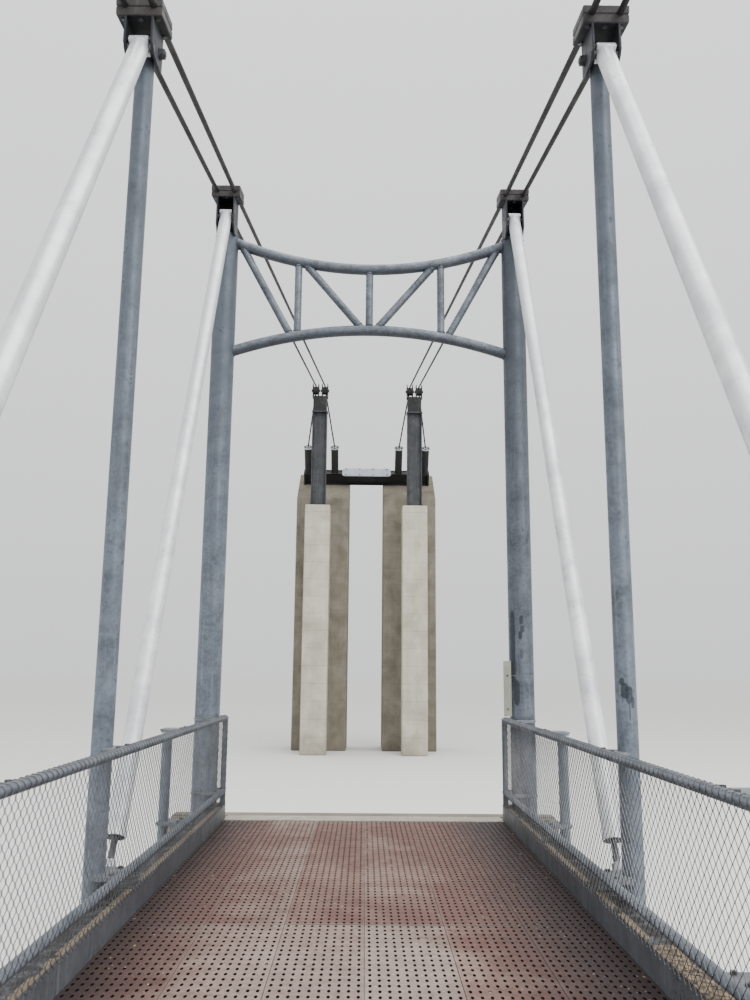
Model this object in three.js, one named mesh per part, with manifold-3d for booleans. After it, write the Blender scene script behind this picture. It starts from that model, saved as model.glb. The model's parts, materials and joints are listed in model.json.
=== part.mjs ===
// Suspension footbridge with pipe hangers, built as a 1:2 scale model.
// Millimetres, +Z up, +Y along the bridge, +X to the right when looking along +Y.
// The origin is on the level floor, under the middle of the span.

import * as THREE from 'three';
import { mergeVertices } from 'three/addons/utils/BufferGeometryUtils.js';
import Module from 'manifold-3d';

const wasm = await Module();
wasm.setup();

// One metre of the real bridge is 500 mm of this model.
const real = (metres) => metres * 500;

// Clearance between neighbouring pieces.
const GAP = 0.3;

// Span and levels. Heights marked "over deck" are counted from the walking surface.
const BAYS = 6;
const BAY = real(4.055);
const DECK_TOP = real(1.2);
const SPAN_HALF = (BAYS / 2) * BAY;
const PLANE_X = real(1.74);

// Walkway.
const DECK_HALF_WIDTH = real(1.524);
const DECK_THICK = real(0.05);
const DECK_HALF_LENGTH = SPAN_HALF + real(0.05);
const THRESHOLD_LENGTH = real(0.31);
const THRESHOLD_THICK = real(0.015);

// Steel frame under the walkway.
const PLATE = real(0.012);
const TOE_HEIGHT = real(0.163);
const EDGE_BOTTOM = real(-0.25);
const TOP_FLANGE = real(0.131);
const BOTTOM_FLANGE = real(0.076);
const FLOOR_BEAM_WIDTH = real(0.1);
const EDGE_OVERRUN = real(0.1);
const OUTRIGGER_END = real(1.84);
const FOOT_BRACKET = { inner: real(1.53), outer: real(1.83), length: real(0.26), top: real(0.17) };

// Pipes, by radius.
const COLUMN_RADIUS = real(0.1365);
const HANGER_RADIUS = real(0.0707);
const POST_RADIUS = real(0.0445);
const RAIL_RADIUS = real(0.0302);
const CHORD_RADIUS = real(0.0635);
const WEB_RADIUS = real(0.0445);
const CABLE_RADIUS = real(0.026);
const CABLE_SIDES = 6;

// Facets round a pipe.
const PIPE_SIDES = 10;
const BAR_SIDES = 6;
const COLUMN_SIDES = 16;
const RAIL_SIDES = 8;

// Main cables: height of the clamp joint over deck at the portal, and the slope of each bay from there.
const PORTAL_JOINT = real(7.31);
const BAY_SLOPES = [0.207, 0.1242, 0.0414];
const CABLE_SPREAD_HEAD = real(0.105);
const CABLE_SPREAD_MAST = real(0.167);
const CABLE_SPREAD_ANCHOR = real(0.51);
const CABLE_END_CLEARANCE = real(0.0046);

// Clamp heads on the columns and hangers. They reach further towards mid-span than away from it.
const HEAD = { width: real(0.345), front: real(0.26), back: real(0.09), thick: real(0.13) };
const CHEEK = { offset: real(0.1), thick: real(0.018), front: real(0.24), back: real(0.08) };
const HANGER_CHEEK = { depth: real(0.38), chamfer: real(0.06) };
const PORTAL_CHEEK = { depth: real(0.56), chamfer: real(0.1) };
const CHEEK_TOP_DROP = real(0.039);
const HEAD_WEB = { front: real(0.05), back: real(0.068) };
const HANGER_TOP_DROP = real(0.17);
const HANGER_PIN = { drop: real(0.08), halfLength: real(0.155) };
const COLUMN_TOP_DROP = real(0.52);
const PIN_RADIUS = real(0.028);
const DIAGONAL_PIN = { along: real(0.35), halfLength: real(0.112) };

// Diagonals: the axis starts a little under the clamp joint and ends beside the next hanger.
const DIAGONAL_START_DROP = real(0.03);
const DIAGONAL_END = { setback: real(0.306), length: real(0.045), width: real(0.146), depth: real(0.141) };
const FOOT_OFFSET = real(0.46);
const FOOT_HEIGHT = real(0.44);
const ROD_RADIUS = real(0.027);
const FOOT_CAP = { radius: real(0.078), thick: real(0.03) };

// Arched truss between the portal columns, over deck.
const TOP_CHORD = { end: real(6.75), middle: real(6.38) };
const BOTTOM_CHORD = { end: real(5.28), middle: real(5.60) };
const WEB_POST_X = real(0.86);
const WEB_OUTER_X = PLANE_X - COLUMN_RADIUS * 1.3;
const WEB_FOOT_INSET = real(0.07);
const CHORD_STEPS = 8;
const CHORD_SIDES = 8;

// Railings.
const RAIL_X = real(1.54);
const TOP_RAIL = real(1.075);
const LOWER_RAIL = real(0.30);
const POST_TOP = real(1.05);
const BRACKET = { halfLength: real(0.11), thick: real(0.016) };
const HANGER_BRACKET = { halfLength: real(0.15), outer: real(1.71) };
const PORTAL_BRACKET = { halfLength: real(0.17), outer: real(1.86) };
const MESH_THICK = 3;
const MESH_BOTTOM = real(0.125);

// Abutments and portal column bases.
const SEAT = real(-0.45);
const ABUTMENT = {
  front: real(11.62), wall: real(12.36), ledge: real(12.53), back: real(12.75), halfWidth: real(2.15),
};
const BEARING = { inner: real(1.0), outer: real(1.4), setback: real(0.2), halfLength: real(0.12) };
const BASE_PLATE = { width: real(0.42), length: real(0.36), thick: real(0.03) };

// Masts on the hillside, over deck.
const MAST_Y = real(34.0);
const MAST = {
  base: real(7.45), top: real(11.0), width: real(0.54), depth: real(0.32), flange: real(0.035),
  web: real(0.025), sunk: real(0.02),
};
const MAST_FOOT = { halfWidth: MAST.width * 0.56, halfDepth: MAST.depth * 0.7, thick: real(0.05) };
const MAST_CAP = { halfWidth: MAST.width * 0.54, halfDepth: MAST.depth * 0.6, thick: real(0.04) };
const MAST_BOX = { top: real(11.58), width: real(0.5), depth: real(0.3) };
const EAR = {
  top: real(12.05), halfDepth: real(0.15), thick: real(0.03), outer: real(0.27), inner: real(0.065),
};
const SADDLE_RADIUS = real(0.15);
const SADDLE_SIDES = 12;
const SADDLE_HEIGHT = real(11.815);
const PIER_HALF = real(0.4425);

// Anchor frames: a beam across two concrete blocks, square to the back stays.
const DISC_CENTRE = { y: real(35.5), z: real(10.03) };
const ANCHOR_TILT = THREE.MathUtils.degToRad(37.4);
const ANCHOR_TUBE = {
  radius: real(0.145), length: real(1.05), discRadius: real(0.165), discThick: real(0.04),
};
const ANCHOR_BEAM = { height: real(0.45), width: real(0.36), plate: real(0.03), halfLength: real(2.42) };
const ANCHOR_END = { halfWidth: ANCHOR_BEAM.width * 0.56, top: ANCHOR_BEAM.height * 1.06 };
const BEARING_PLATE = { halfWidth: real(0.83), length: real(0.64), thick: real(0.03) };
const BLOCK = { inner: real(0.65), outer: real(2.62), front: real(35.385), back: real(37.4), top: real(9.3) };

// Plate in front of the inner edge of one portal column. Its back touches the column at "contact".
const SIGN = {
  inner: real(1.528), outer: real(1.615), bottom: real(1.118), top: real(1.718), thick: real(0.008),
  contact: real(0.0538),
};

// Finishes.
const finish = (color, roughness, metalness) => (
  new THREE.MeshStandardMaterial({ color, roughness, metalness })
);
const galvanised = () => finish(0x7d8c9b, 0.5, 0.75);
const aluminiumPaint = () => finish(0xc8cacd, 0.38, 0.8);
const darkSteel = () => finish(0x50555f, 0.5, 0.7);
const blackSteel = () => finish(0x24272b, 0.55, 0.5);
const cableSteel = () => finish(0x2b2621, 0.6, 0.7);
const deckSteel = () => finish(0xa5968e, 0.7, 0.4);
const toeSteel = () => finish(0x585d66, 0.55, 0.6);
const concrete = () => finish(0x969182, 0.9, 0.0);
const palePlate = () => finish(0xb8bcb0, 0.5, 0.2);

/** Turn a closed three.js geometry into a solid that can be joined and cut. */
function solid(geometry) {
  const bare = geometry.index ? geometry.toNonIndexed() : geometry.clone();
  bare.deleteAttribute('normal');
  bare.deleteAttribute('uv');
  const merged = mergeVertices(bare, 1e-4);
  return new wasm.Manifold(new wasm.Mesh({
    numProp: 3,
    vertProperties: new Float32Array(merged.attributes.position.array),
    triVerts: new Uint32Array(merged.index.array),
  }));
}

/** Turn a solid back into a geometry. */
function toGeometry(body) {
  const mesh = body.getMesh();
  const geometry = new THREE.BufferGeometry();
  geometry.setAttribute('position', new THREE.BufferAttribute(new Float32Array(mesh.vertProperties), 3));
  geometry.setIndex(new THREE.BufferAttribute(new Uint32Array(mesh.triVerts), 1));
  const faceted = geometry.toNonIndexed();
  faceted.computeVertexNormals();
  return faceted;
}

/** Join a list of geometries, then cut away another list. */
function fuse(added, removed = []) {
  let body = solid(added[0]);
  for (const geometry of added.slice(1)) {
    body = body.add(solid(geometry));
  }
  for (const geometry of removed) {
    body = body.subtract(solid(geometry));
  }
  return toGeometry(body);
}

/** Box given by its lowest and highest corner. */
function box(x0, y0, z0, x1, y1, z1) {
  const geometry = new THREE.BoxGeometry(x1 - x0, y1 - y0, z1 - z0);
  return geometry.translate((x0 + x1) / 2, (y0 + y1) / 2, (z0 + z1) / 2);
}

/** Round bar from one point to another. */
function rod(from, to, radius, sides = PIPE_SIDES) {
  const a = new THREE.Vector3(...from);
  const b = new THREE.Vector3(...to);
  const length = a.distanceTo(b);
  const geometry = new THREE.CylinderGeometry(radius, radius, length, sides, 1);
  const turn = new THREE.Quaternion().setFromUnitVectors(
    new THREE.Vector3(0, 1, 0), b.clone().sub(a).normalize(),
  );
  geometry.applyQuaternion(turn);
  const middle = a.add(b).multiplyScalar(0.5);
  return geometry.translate(middle.x, middle.y, middle.z);
}

/** Flat profile of [y, z] corners, spread from x0 to x1. */
function slab(corners, x0, x1) {
  const shape = new THREE.Shape(corners.map(([y, z]) => new THREE.Vector2(y, z)));
  const geometry = new THREE.ExtrudeGeometry(shape, { depth: x1 - x0, bevelEnabled: false });
  const turn = new THREE.Matrix4().makeBasis(
    new THREE.Vector3(0, 1, 0), new THREE.Vector3(0, 0, 1), new THREE.Vector3(1, 0, 0),
  );
  geometry.applyMatrix4(turn);
  return geometry.translate(x0, 0, 0);
}

/** Curve that is stepped exactly at its own points. */
class Route extends THREE.Curve {
  constructor(points) {
    super();
    this.points = points;
  }

  getPoint(t) {
    const place = t * (this.points.length - 1);
    const index = Math.min(Math.floor(place), this.points.length - 2);
    return this.points[index].clone().lerp(this.points[index + 1], place - index);
  }

  getPointAt(u) {
    return this.getPoint(u);
  }

  getTangentAt(u) {
    const last = this.points.length - 1;
    const index = Math.round(u * last);
    const before = this.points[Math.max(index - 1, 0)];
    const here = this.points[index];
    const after = this.points[Math.min(index + 1, last)];
    const into = here.clone().sub(before).normalize();
    const out = after.clone().sub(here).normalize();
    return into.add(out).normalize();
  }
}

/** Round section swept along a list of points. */
function sweep(points, radius, sides) {
  const shape = new THREE.Shape();
  for (let i = 0; i < sides; i += 1) {
    const angle = ((i + 0.5) / sides) * 2 * Math.PI;
    const corner = [radius * Math.cos(angle), radius * Math.sin(angle)];
    if (i === 0) {
      shape.moveTo(...corner);
    } else {
      shape.lineTo(...corner);
    }
  }
  return new THREE.ExtrudeGeometry(shape, {
    steps: points.length - 1, bevelEnabled: false, extrudePath: new Route(points),
  });
}

/** Height of the cable at support number i, counted from the portal towards the middle. */
function jointHeight(i) {
  return BAY_SLOPES.slice(0, i).reduce((height, slope) => height - slope * BAY, PORTAL_JOINT);
}

/** Distance of support number i from the middle of the span. */
const supportY = (i) => SPAN_HALF - i * BAY;

/** Points of the far half of one cable, from the middle of the span to the anchor tube. */
function cableHalf(offset) {
  const side = Math.sign(offset);
  const points = [];
  for (let i = BAYS / 2; i >= 0; i -= 1) {
    points.push(new THREE.Vector3(offset, supportY(i), jointHeight(i)));
  }
  const radius = SADDLE_RADIUS + GAP + CABLE_RADIUS;
  const portal = { y: SPAN_HALF, z: PORTAL_JOINT };
  const saddle = { y: MAST_Y, z: SADDLE_HEIGHT };
  const reachIn = Math.hypot(saddle.y - portal.y, saddle.z - portal.z);
  const reachOut = Math.hypot(DISC_CENTRE.y - saddle.y, DISC_CENTRE.z - saddle.z);
  const slopeIn = Math.atan2(saddle.z - portal.z, saddle.y - portal.y);
  const slopeOut = Math.atan2(DISC_CENTRE.z - saddle.z, DISC_CENTRE.y - saddle.y);
  const angleIn = slopeIn + Math.asin(radius / reachIn);
  const angleOut = slopeOut - Math.asin(radius / reachOut);
  const arcSteps = 5;
  for (let k = 0; k <= arcSteps; k += 1) {
    const angle = angleIn + (k / arcSteps) * (angleOut - angleIn);
    const y = saddle.y - radius * Math.sin(angle);
    const z = saddle.z + radius * Math.cos(angle);
    points.push(new THREE.Vector3(side * CABLE_SPREAD_MAST, y, z));
  }
  const last = points[points.length - 1];
  const end = new THREE.Vector3(side * CABLE_SPREAD_ANCHOR, DISC_CENTRE.y, DISC_CENTRE.z);
  const clear = ANCHOR_TUBE.discThick / 2 + CABLE_END_CLEARANCE;
  points.push(end.lerp(last, clear / end.distanceTo(last)));
  return points;
}

/** Whole cable from anchor to anchor, offset sideways from the plane of the hangers. */
function cablePath(offset) {
  const far = cableHalf(offset);
  const near = far.slice(1).map((p) => new THREE.Vector3(p.x, -p.y, p.z)).reverse();
  return [...near, ...far];
}

/** The two cables of one side as cutters, widened by the clearance, with support i as the origin. */
function cableCutters(i) {
  return [-1, 1].map((side) => {
    const path = cablePath(side * CABLE_SPREAD_HEAD);
    const geometry = sweep(path, CABLE_RADIUS + GAP, CABLE_SIDES);
    return geometry.translate(0, -supportY(i), 0);
  });
}

/** Axis of the diagonal from support i, in [y, z]: start, foot, unit direction and length of foot rod. */
function diagonalAxis(i) {
  const start = new THREE.Vector2(0, jointHeight(i) - DIAGONAL_START_DROP);
  const foot = new THREE.Vector2(-BAY + FOOT_OFFSET, FOOT_HEIGHT);
  const direction = foot.clone().sub(start).normalize();
  const lowestCorner = ROD_RADIUS * Math.abs(direction.x);
  const rodLength = (FOOT_HEIGHT - lowestCorner - FOOT_BRACKET.top - GAP) / Math.abs(direction.y);
  return { start, foot, direction, rodLength };
}

/** Bar across a head, from left to right, through a point given by y and z. */
function crossPin(y, z, halfLength, radius = PIN_RADIUS) {
  return rod([-halfLength, y, z], [halfLength, y, z], radius, BAR_SIDES);
}

/** Clamp block, two cheek plates and diagonal pin of support i. */
function headParts(i, cheek) {
  const joint = jointHeight(i);
  const inner = BAY_SLOPES[i] ?? -BAY_SLOPES[i - 1];
  const outer = i === 0 ? (SADDLE_HEIGHT - PORTAL_JOINT) / (MAST_Y - SPAN_HALF) : BAY_SLOPES[i - 1];
  const bothWays = i === BAYS / 2;
  const evenly = ({ front, back }) => (bothWays ? [(front + back) / 2, (front + back) / 2] : [front, back]);
  const [blockFront, blockBack] = evenly(HEAD);
  const clamp = box(-HEAD.width / 2, -blockFront, -HEAD.thick / 2, HEAD.width / 2, blockBack, HEAD.thick / 2);
  clamp.rotateX(Math.atan((inner + outer) / 2));
  clamp.translate(0, 0, joint);
  const parts = [clamp];
  const [front, back] = evenly(CHEEK);
  const backCut = bothWays ? cheek.chamfer : 0;
  const bottom = joint - cheek.depth;
  const top = joint - CHEEK_TOP_DROP;
  const corners = [
    [-front, top], [-front, bottom + cheek.chamfer], [-front + cheek.chamfer, bottom],
    [back - backCut, bottom], [back, bottom + backCut], [back, top],
  ];
  const profile = backCut > 0 ? corners : corners.filter((corner, k) => k !== 4);
  for (const side of [-1, 1]) {
    const x = side * CHEEK.offset;
    parts.push(slab([...profile].reverse(), x - CHEEK.thick / 2, x + CHEEK.thick / 2));
  }
  if (!bothWays) {
    const { start, direction } = diagonalAxis(i);
    const pin = start.addScaledVector(direction, DIAGONAL_PIN.along);
    parts.push(crossPin(pin.x, pin.y, DIAGONAL_PIN.halfLength));
  }
  return parts;
}

/** Hanger number i: a pipe from the outrigger up between the cheeks of its clamp head, held by a pin. */
function hangerGeometry(i) {
  const top = jointHeight(i) - HANGER_TOP_DROP;
  const pipe = rod([0, 0, -DECK_THICK + GAP], [0, 0, top], HANGER_RADIUS);
  const pin = crossPin(0, top - HANGER_PIN.drop, HANGER_PIN.halfLength);
  return fuse([...headParts(i, HANGER_CHEEK), pipe, pin], cableCutters(i));
}

/** Portal column with its base plate and clamp head, closed behind the cheeks by a web plate. */
function columnGeometry() {
  const base = SEAT + GAP;
  const pipe = rod([0, 0, base], [0, 0, PORTAL_JOINT - COLUMN_TOP_DROP], COLUMN_RADIUS, COLUMN_SIDES);
  const plate = box(
    -BASE_PLATE.width / 2, -BASE_PLATE.length / 2, base,
    BASE_PLATE.width / 2, BASE_PLATE.length / 2, base + BASE_PLATE.thick,
  );
  const web = box(
    -CHEEK.offset, HEAD_WEB.front, PORTAL_JOINT - PORTAL_CHEEK.depth,
    CHEEK.offset, HEAD_WEB.back, PORTAL_JOINT - CHEEK_TOP_DROP,
  );
  return fuse([...headParts(0, PORTAL_CHEEK), pipe, plate, web], cableCutters(0));
}

/** Diagonal that hangs on the head of support i: a square end block, the pipe, its cap and foot rod. */
function diagonalGeometry(i) {
  const { start, foot, direction, rodLength } = diagonalAxis(i);
  const at = (from, distance) => {
    const p = from.clone().addScaledVector(direction, distance);
    return [0, p.x, p.y];
  };
  const { setback, length, width, depth } = DIAGONAL_END;
  const endBlock = new THREE.BoxGeometry(width, depth, length);
  endBlock.rotateX(Math.atan2(direction.x, -direction.y));
  endBlock.translate(...at(start, setback + length / 2));
  const pin = at(start, DIAGONAL_PIN.along);
  return fuse([
    rod(at(start, setback + length / 2), at(foot, 0), HANGER_RADIUS),
    endBlock,
    rod(at(foot, -FOOT_CAP.thick), at(foot, 0), FOOT_CAP.radius),
    rod(at(foot, -FOOT_CAP.thick / 2), at(foot, rodLength), ROD_RADIUS, BAR_SIDES),
  ], [crossPin(pin[1], pin[2], width, PIN_RADIUS + GAP)]);
}

/** Arched truss between the portal columns, cut back to the column faces. */
function trussGeometry() {
  const chord = ({ end, middle }) => {
    const curve = new THREE.QuadraticBezierCurve3(
      new THREE.Vector3(-PLANE_X, 0, end),
      new THREE.Vector3(0, 0, 2 * middle - end),
      new THREE.Vector3(PLANE_X, 0, end),
    );
    return { curve, pipe: sweep(curve.getPoints(CHORD_STEPS), CHORD_RADIUS, CHORD_SIDES) };
  };
  const top = chord(TOP_CHORD);
  const bottom = chord(BOTTOM_CHORD);
  const heightAt = ({ curve }, x) => curve.getPoint((x / PLANE_X + 1) / 2).z;
  const web = (x0, from, x1, to) => (
    rod([x0, 0, heightAt(from, x0)], [x1, 0, heightAt(to, x1)], WEB_RADIUS, BAR_SIDES)
  );
  const parts = [top.pipe, bottom.pipe, web(0, top, 0, bottom)];
  for (const side of [-1, 1]) {
    const post = side * WEB_POST_X;
    parts.push(web(post, top, post, bottom));
    parts.push(web(side * WEB_OUTER_X, top, post + side * WEB_FOOT_INSET, bottom));
    parts.push(web(post - side * WEB_FOOT_INSET, top, side * WEB_FOOT_INSET, bottom));
  }
  const columns = [-1, 1].map((side) => rod(
    [side * PLANE_X, 0, 0], [side * PLANE_X, 0, PORTAL_JOINT], COLUMN_RADIUS + GAP, COLUMN_SIDES,
  ));
  return fuse(parts, columns);
}

/** Steel mast with its base plate, head box, ears and cable saddles. */
function mastGeometry() {
  const { base, top, width, depth, flange, web, sunk } = MAST;
  const upright = (halfWidth, halfDepth, z0, z1, x = 0) => (
    box(x - halfWidth, -halfDepth, z0, x + halfWidth, halfDepth, z1)
  );
  const parts = [
    upright(MAST_FOOT.halfWidth, MAST_FOOT.halfDepth, base + GAP, base + MAST_FOOT.thick),
    upright(width / 2, web / 2, base + sunk, top),
    upright(MAST_CAP.halfWidth, MAST_CAP.halfDepth, top - MAST_CAP.thick, top),
    upright(MAST_BOX.width / 2, MAST_BOX.depth / 2, top - MAST_CAP.thick, MAST_BOX.top),
  ];
  for (const side of [-1, 1]) {
    parts.push(upright(flange / 2, depth / 2, base + sunk, top, side * (width - flange) / 2));
    for (const offset of [EAR.inner, EAR.outer]) {
      const foot = MAST_BOX.top - MAST_CAP.thick;
      parts.push(upright(EAR.thick / 2, EAR.halfDepth, foot, EAR.top, side * offset));
    }
    parts.push(rod(
      [side * EAR.inner, 0, SADDLE_HEIGHT], [side * EAR.outer, 0, SADDLE_HEIGHT],
      SADDLE_RADIUS, SADDLE_SIDES,
    ));
  }
  return fuse(parts);
}

/** Foot of the anchor frame on the sloping concrete, in [y, z]. */
function anchorFoot() {
  const reach = ANCHOR_BEAM.height + ANCHOR_TUBE.length;
  return new THREE.Vector2(
    DISC_CENTRE.y + reach * Math.sin(ANCHOR_TILT), DISC_CENTRE.z - reach * Math.cos(ANCHOR_TILT),
  );
}

/** Concrete block with a sloping face that carries the anchor frame. */
function anchorBlockGeometry(side) {
  const foot = anchorFoot();
  const slope = Math.tan(ANCHOR_TILT);
  const faceHeight = foot.y - GAP / Math.cos(ANCHOR_TILT);
  const frontTop = faceHeight + (BLOCK.front - foot.x) * slope;
  const topEdge = foot.x + (BLOCK.top - faceHeight) / slope;
  const profile = [
    [BLOCK.front, -DECK_TOP], [BLOCK.back, -DECK_TOP], [BLOCK.back, BLOCK.top], [topEdge, BLOCK.top],
    [BLOCK.front, frontTop],
  ];
  return side > 0 ? slab(profile, BLOCK.inner, BLOCK.outer) : slab(profile, -BLOCK.outer, -BLOCK.inner);
}

/** Beam, four anchor tubes and plates, in a frame with +Z square to the sloping concrete. */
function anchorFrameGeometry() {
  const { height, width, plate, halfLength } = ANCHOR_BEAM;
  const parts = [
    box(-halfLength, -width / 2, 0, halfLength, width / 2, plate),
    box(-halfLength, -width / 2, height - plate, halfLength, width / 2, height),
    box(-halfLength, -plate / 2, 0, halfLength, plate / 2, height),
    box(
      -BEARING_PLATE.halfWidth, -BEARING_PLATE.length / 2, height - plate / 2,
      BEARING_PLATE.halfWidth, BEARING_PLATE.length / 2, height + BEARING_PLATE.thick,
    ),
  ];
  for (const side of [-1, 1]) {
    const end = side * (halfLength - plate);
    parts.push(box(end - plate, -ANCHOR_END.halfWidth, 0, end + plate, ANCHOR_END.halfWidth, ANCHOR_END.top));
    for (const spread of [-CABLE_SPREAD_ANCHOR, CABLE_SPREAD_ANCHOR]) {
      const x = side * PLANE_X + spread;
      const discZ = height + ANCHOR_TUBE.length;
      const half = width / 2;
      parts.push(box(x - half, -half, height - plate / 2, x + half, half, height + plate));
      parts.push(rod([x, 0, height - plate / 2], [x, 0, discZ], ANCHOR_TUBE.radius));
      parts.push(rod(
        [x, 0, discZ - ANCHOR_TUBE.discThick / 2], [x, 0, discZ + ANCHOR_TUBE.discThick / 2],
        ANCHOR_TUBE.discRadius,
      ));
    }
  }
  return fuse(parts);
}

/** Edge beams, floor beams, outriggers and brackets under the walkway. */
function deckFrameGeometry() {
  const parts = [];
  const cutters = [];
  const beamEnd = DECK_HALF_LENGTH + EDGE_OVERRUN;
  const beamTop = -DECK_THICK - GAP;
  const halfBays = BAYS * 2;
  for (let k = 0; k <= halfBays; k += 1) {
    const y = (k / 2 - BAYS / 2) * BAY;
    const atEnd = k === 0 || k === halfBays;
    const reach = atEnd ? DECK_HALF_WIDTH + PLATE / 2 : OUTRIGGER_END;
    const half = FLOOR_BEAM_WIDTH / 2;
    parts.push(box(-reach, y - half, EDGE_BOTTOM, reach, y + half, beamTop));
  }
  for (const side of [-1, 1]) {
    const span = (inner, outer, z0, z1, y0 = -beamEnd, y1 = beamEnd) => box(
      Math.min(side * inner, side * outer), y0, z0, Math.max(side * inner, side * outer), y1, z1,
    );
    const web = DECK_HALF_WIDTH;
    parts.push(span(web, web + PLATE, EDGE_BOTTOM, TOE_HEIGHT));
    parts.push(span(web, web + TOP_FLANGE, TOE_HEIGHT - PLATE, TOE_HEIGHT));
    parts.push(span(web, web + BOTTOM_FLANGE, EDGE_BOTTOM, EDGE_BOTTOM + PLATE));
    for (const end of [-1, 1]) {
      const middle = end * (ABUTMENT.front + BEARING.setback);
      const reach = [middle - BEARING.halfLength, middle + BEARING.halfLength];
      parts.push(span(BEARING.inner, BEARING.outer, SEAT + GAP, EDGE_BOTTOM + PLATE, ...reach));
      parts.push(span(BEARING.inner, web, EDGE_BOTTOM, EDGE_BOTTOM + PLATE * 2, ...reach));
      cutters.push(rod(
        [side * PLANE_X, end * SPAN_HALF, SEAT], [side * PLANE_X, end * SPAN_HALF, DECK_TOP],
        COLUMN_RADIUS + 2 * GAP, COLUMN_SIDES,
      ));
      for (let i = 0; i < BAYS / 2; i += 1) {
        const { foot, direction, rodLength } = diagonalAxis(i);
        const y = end * (supportY(i) + foot.x + direction.x * rodLength);
        const half = FOOT_BRACKET.length / 2;
        const { inner, outer, top } = FOOT_BRACKET;
        parts.push(span(inner, outer, beamTop, top, y - half, y + half));
      }
    }
  }
  return fuse(parts, cutters);
}

/** One railing: two rails, mid-bay posts, end posts and the plates that tie the rails to the uprights. */
function railingGeometry(side) {
  const x = side * RAIL_X;
  const parts = [];
  const cutters = [];
  const railEnd = DECK_HALF_LENGTH;
  for (const z of [TOP_RAIL, LOWER_RAIL]) {
    parts.push(rod([x, -railEnd, z], [x, railEnd, z], RAIL_RADIUS, RAIL_SIDES));
  }
  const bracket = (y, z, outer, halfLength) => box(
    Math.min(x, side * outer), y - halfLength, z - BRACKET.thick / 2,
    Math.max(x, side * outer), y + halfLength, z + BRACKET.thick / 2,
  );
  const upright = (y, bottom, top, radius, sides) => rod(
    [side * PLANE_X, y, bottom], [side * PLANE_X, y, top], radius, sides,
  );
  for (let k = 0; k <= BAYS * 2; k += 1) {
    const y = (k / 2 - BAYS / 2) * BAY;
    const atPortal = k === 0 || k === BAYS * 2;
    const atPost = k % 2 === 1;
    const wide = atPortal ? PORTAL_BRACKET : HANGER_BRACKET;
    for (const z of [TOP_RAIL, LOWER_RAIL]) {
      parts.push(bracket(y, z, atPost ? PLANE_X : wide.outer, atPost ? BRACKET.halfLength : wide.halfLength));
    }
    if (atPost) {
      parts.push(upright(y, -DECK_THICK, POST_TOP, POST_RADIUS, PIPE_SIDES));
    } else if (atPortal) {
      cutters.push(upright(y, 0, TOP_RAIL * 2, COLUMN_RADIUS + GAP, COLUMN_SIDES));
    } else {
      cutters.push(upright(y, 0, TOP_RAIL * 2, HANGER_RADIUS + GAP, PIPE_SIDES));
    }
  }
  for (const end of [-1, 1]) {
    const y = end * (railEnd - RAIL_RADIUS);
    parts.push(rod([x, y, TOE_HEIGHT + GAP], [x, y, TOP_RAIL], RAIL_RADIUS));
  }
  return fuse(parts, cutters);
}

/** Named piece of the bridge, measured from the walking surface. */
function piece(name, geometry, material, x = 0, y = 0, z = 0) {
  const mesh = new THREE.Mesh(geometry, material);
  mesh.name = name;
  mesh.position.set(x, y, z);
  return mesh;
}

/** Everything at one end of the bridge, drawn at +Y. Turned half round it makes the other end. */
function bridgeEnd(end) {
  const group = new THREE.Group();
  const floor = -DECK_TOP;
  for (const side of [-1, 1]) {
    const x = side * PLANE_X;
    const hand = (end === 'far') === (side > 0) ? 'right' : 'left';
    group.add(piece(`portal_column_${end}_${hand}`, columnGeometry(), galvanised(), x, SPAN_HALF));
    for (let i = 1; i < BAYS / 2; i += 1) {
      group.add(piece(`hanger_${end}_${hand}_${i}`, hangerGeometry(i), galvanised(), x, supportY(i)));
    }
    for (let i = 0; i < BAYS / 2; i += 1) {
      const name = `diagonal_${end}_${hand}_${i + 1}`;
      group.add(piece(name, diagonalGeometry(i), aluminiumPaint(), x, supportY(i)));
    }
    group.add(piece(`mast_${end}_${hand}`, mastGeometry(), darkSteel(), x, MAST_Y));
    const pier = box(-PIER_HALF, -PIER_HALF, floor, PIER_HALF, PIER_HALF, MAST.base);
    group.add(piece(`mast_pier_${end}_${hand}`, pier, concrete(), x, MAST_Y));
    group.add(piece(`anchor_block_${end}_${hand}`, anchorBlockGeometry(side), concrete()));
  }
  group.add(piece(`portal_truss_${end}`, trussGeometry(), galvanised(), 0, SPAN_HALF));
  const anchor = anchorFoot();
  const frame = piece(`anchor_frame_${end}`, anchorFrameGeometry(), blackSteel(), 0, anchor.x, anchor.y);
  frame.rotation.x = ANCHOR_TILT;
  group.add(frame);
  const { front, wall, ledge, back, halfWidth } = ABUTMENT;
  const ledgeTop = -THRESHOLD_THICK - GAP;
  const abutment = slab([
    [front, floor], [back, floor], [back, 0], [ledge, 0], [ledge, ledgeTop], [wall, ledgeTop], [wall, SEAT],
    [front, SEAT],
  ], -halfWidth, halfWidth);
  group.add(piece(`abutment_${end}`, abutment, concrete()));
  const threshold = box(
    -DECK_HALF_WIDTH + GAP, DECK_HALF_LENGTH + GAP, -THRESHOLD_THICK,
    DECK_HALF_WIDTH - GAP, DECK_HALF_LENGTH + THRESHOLD_LENGTH, 0,
  );
  group.add(piece(`threshold_plate_${end}`, threshold, galvanised()));
  return group;
}

const bridge = new THREE.Group();
bridge.position.z = DECK_TOP;

const farEnd = bridgeEnd('far');
const nearEnd = bridgeEnd('near');
nearEnd.rotation.z = Math.PI;
bridge.add(farEnd, nearEnd);

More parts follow.
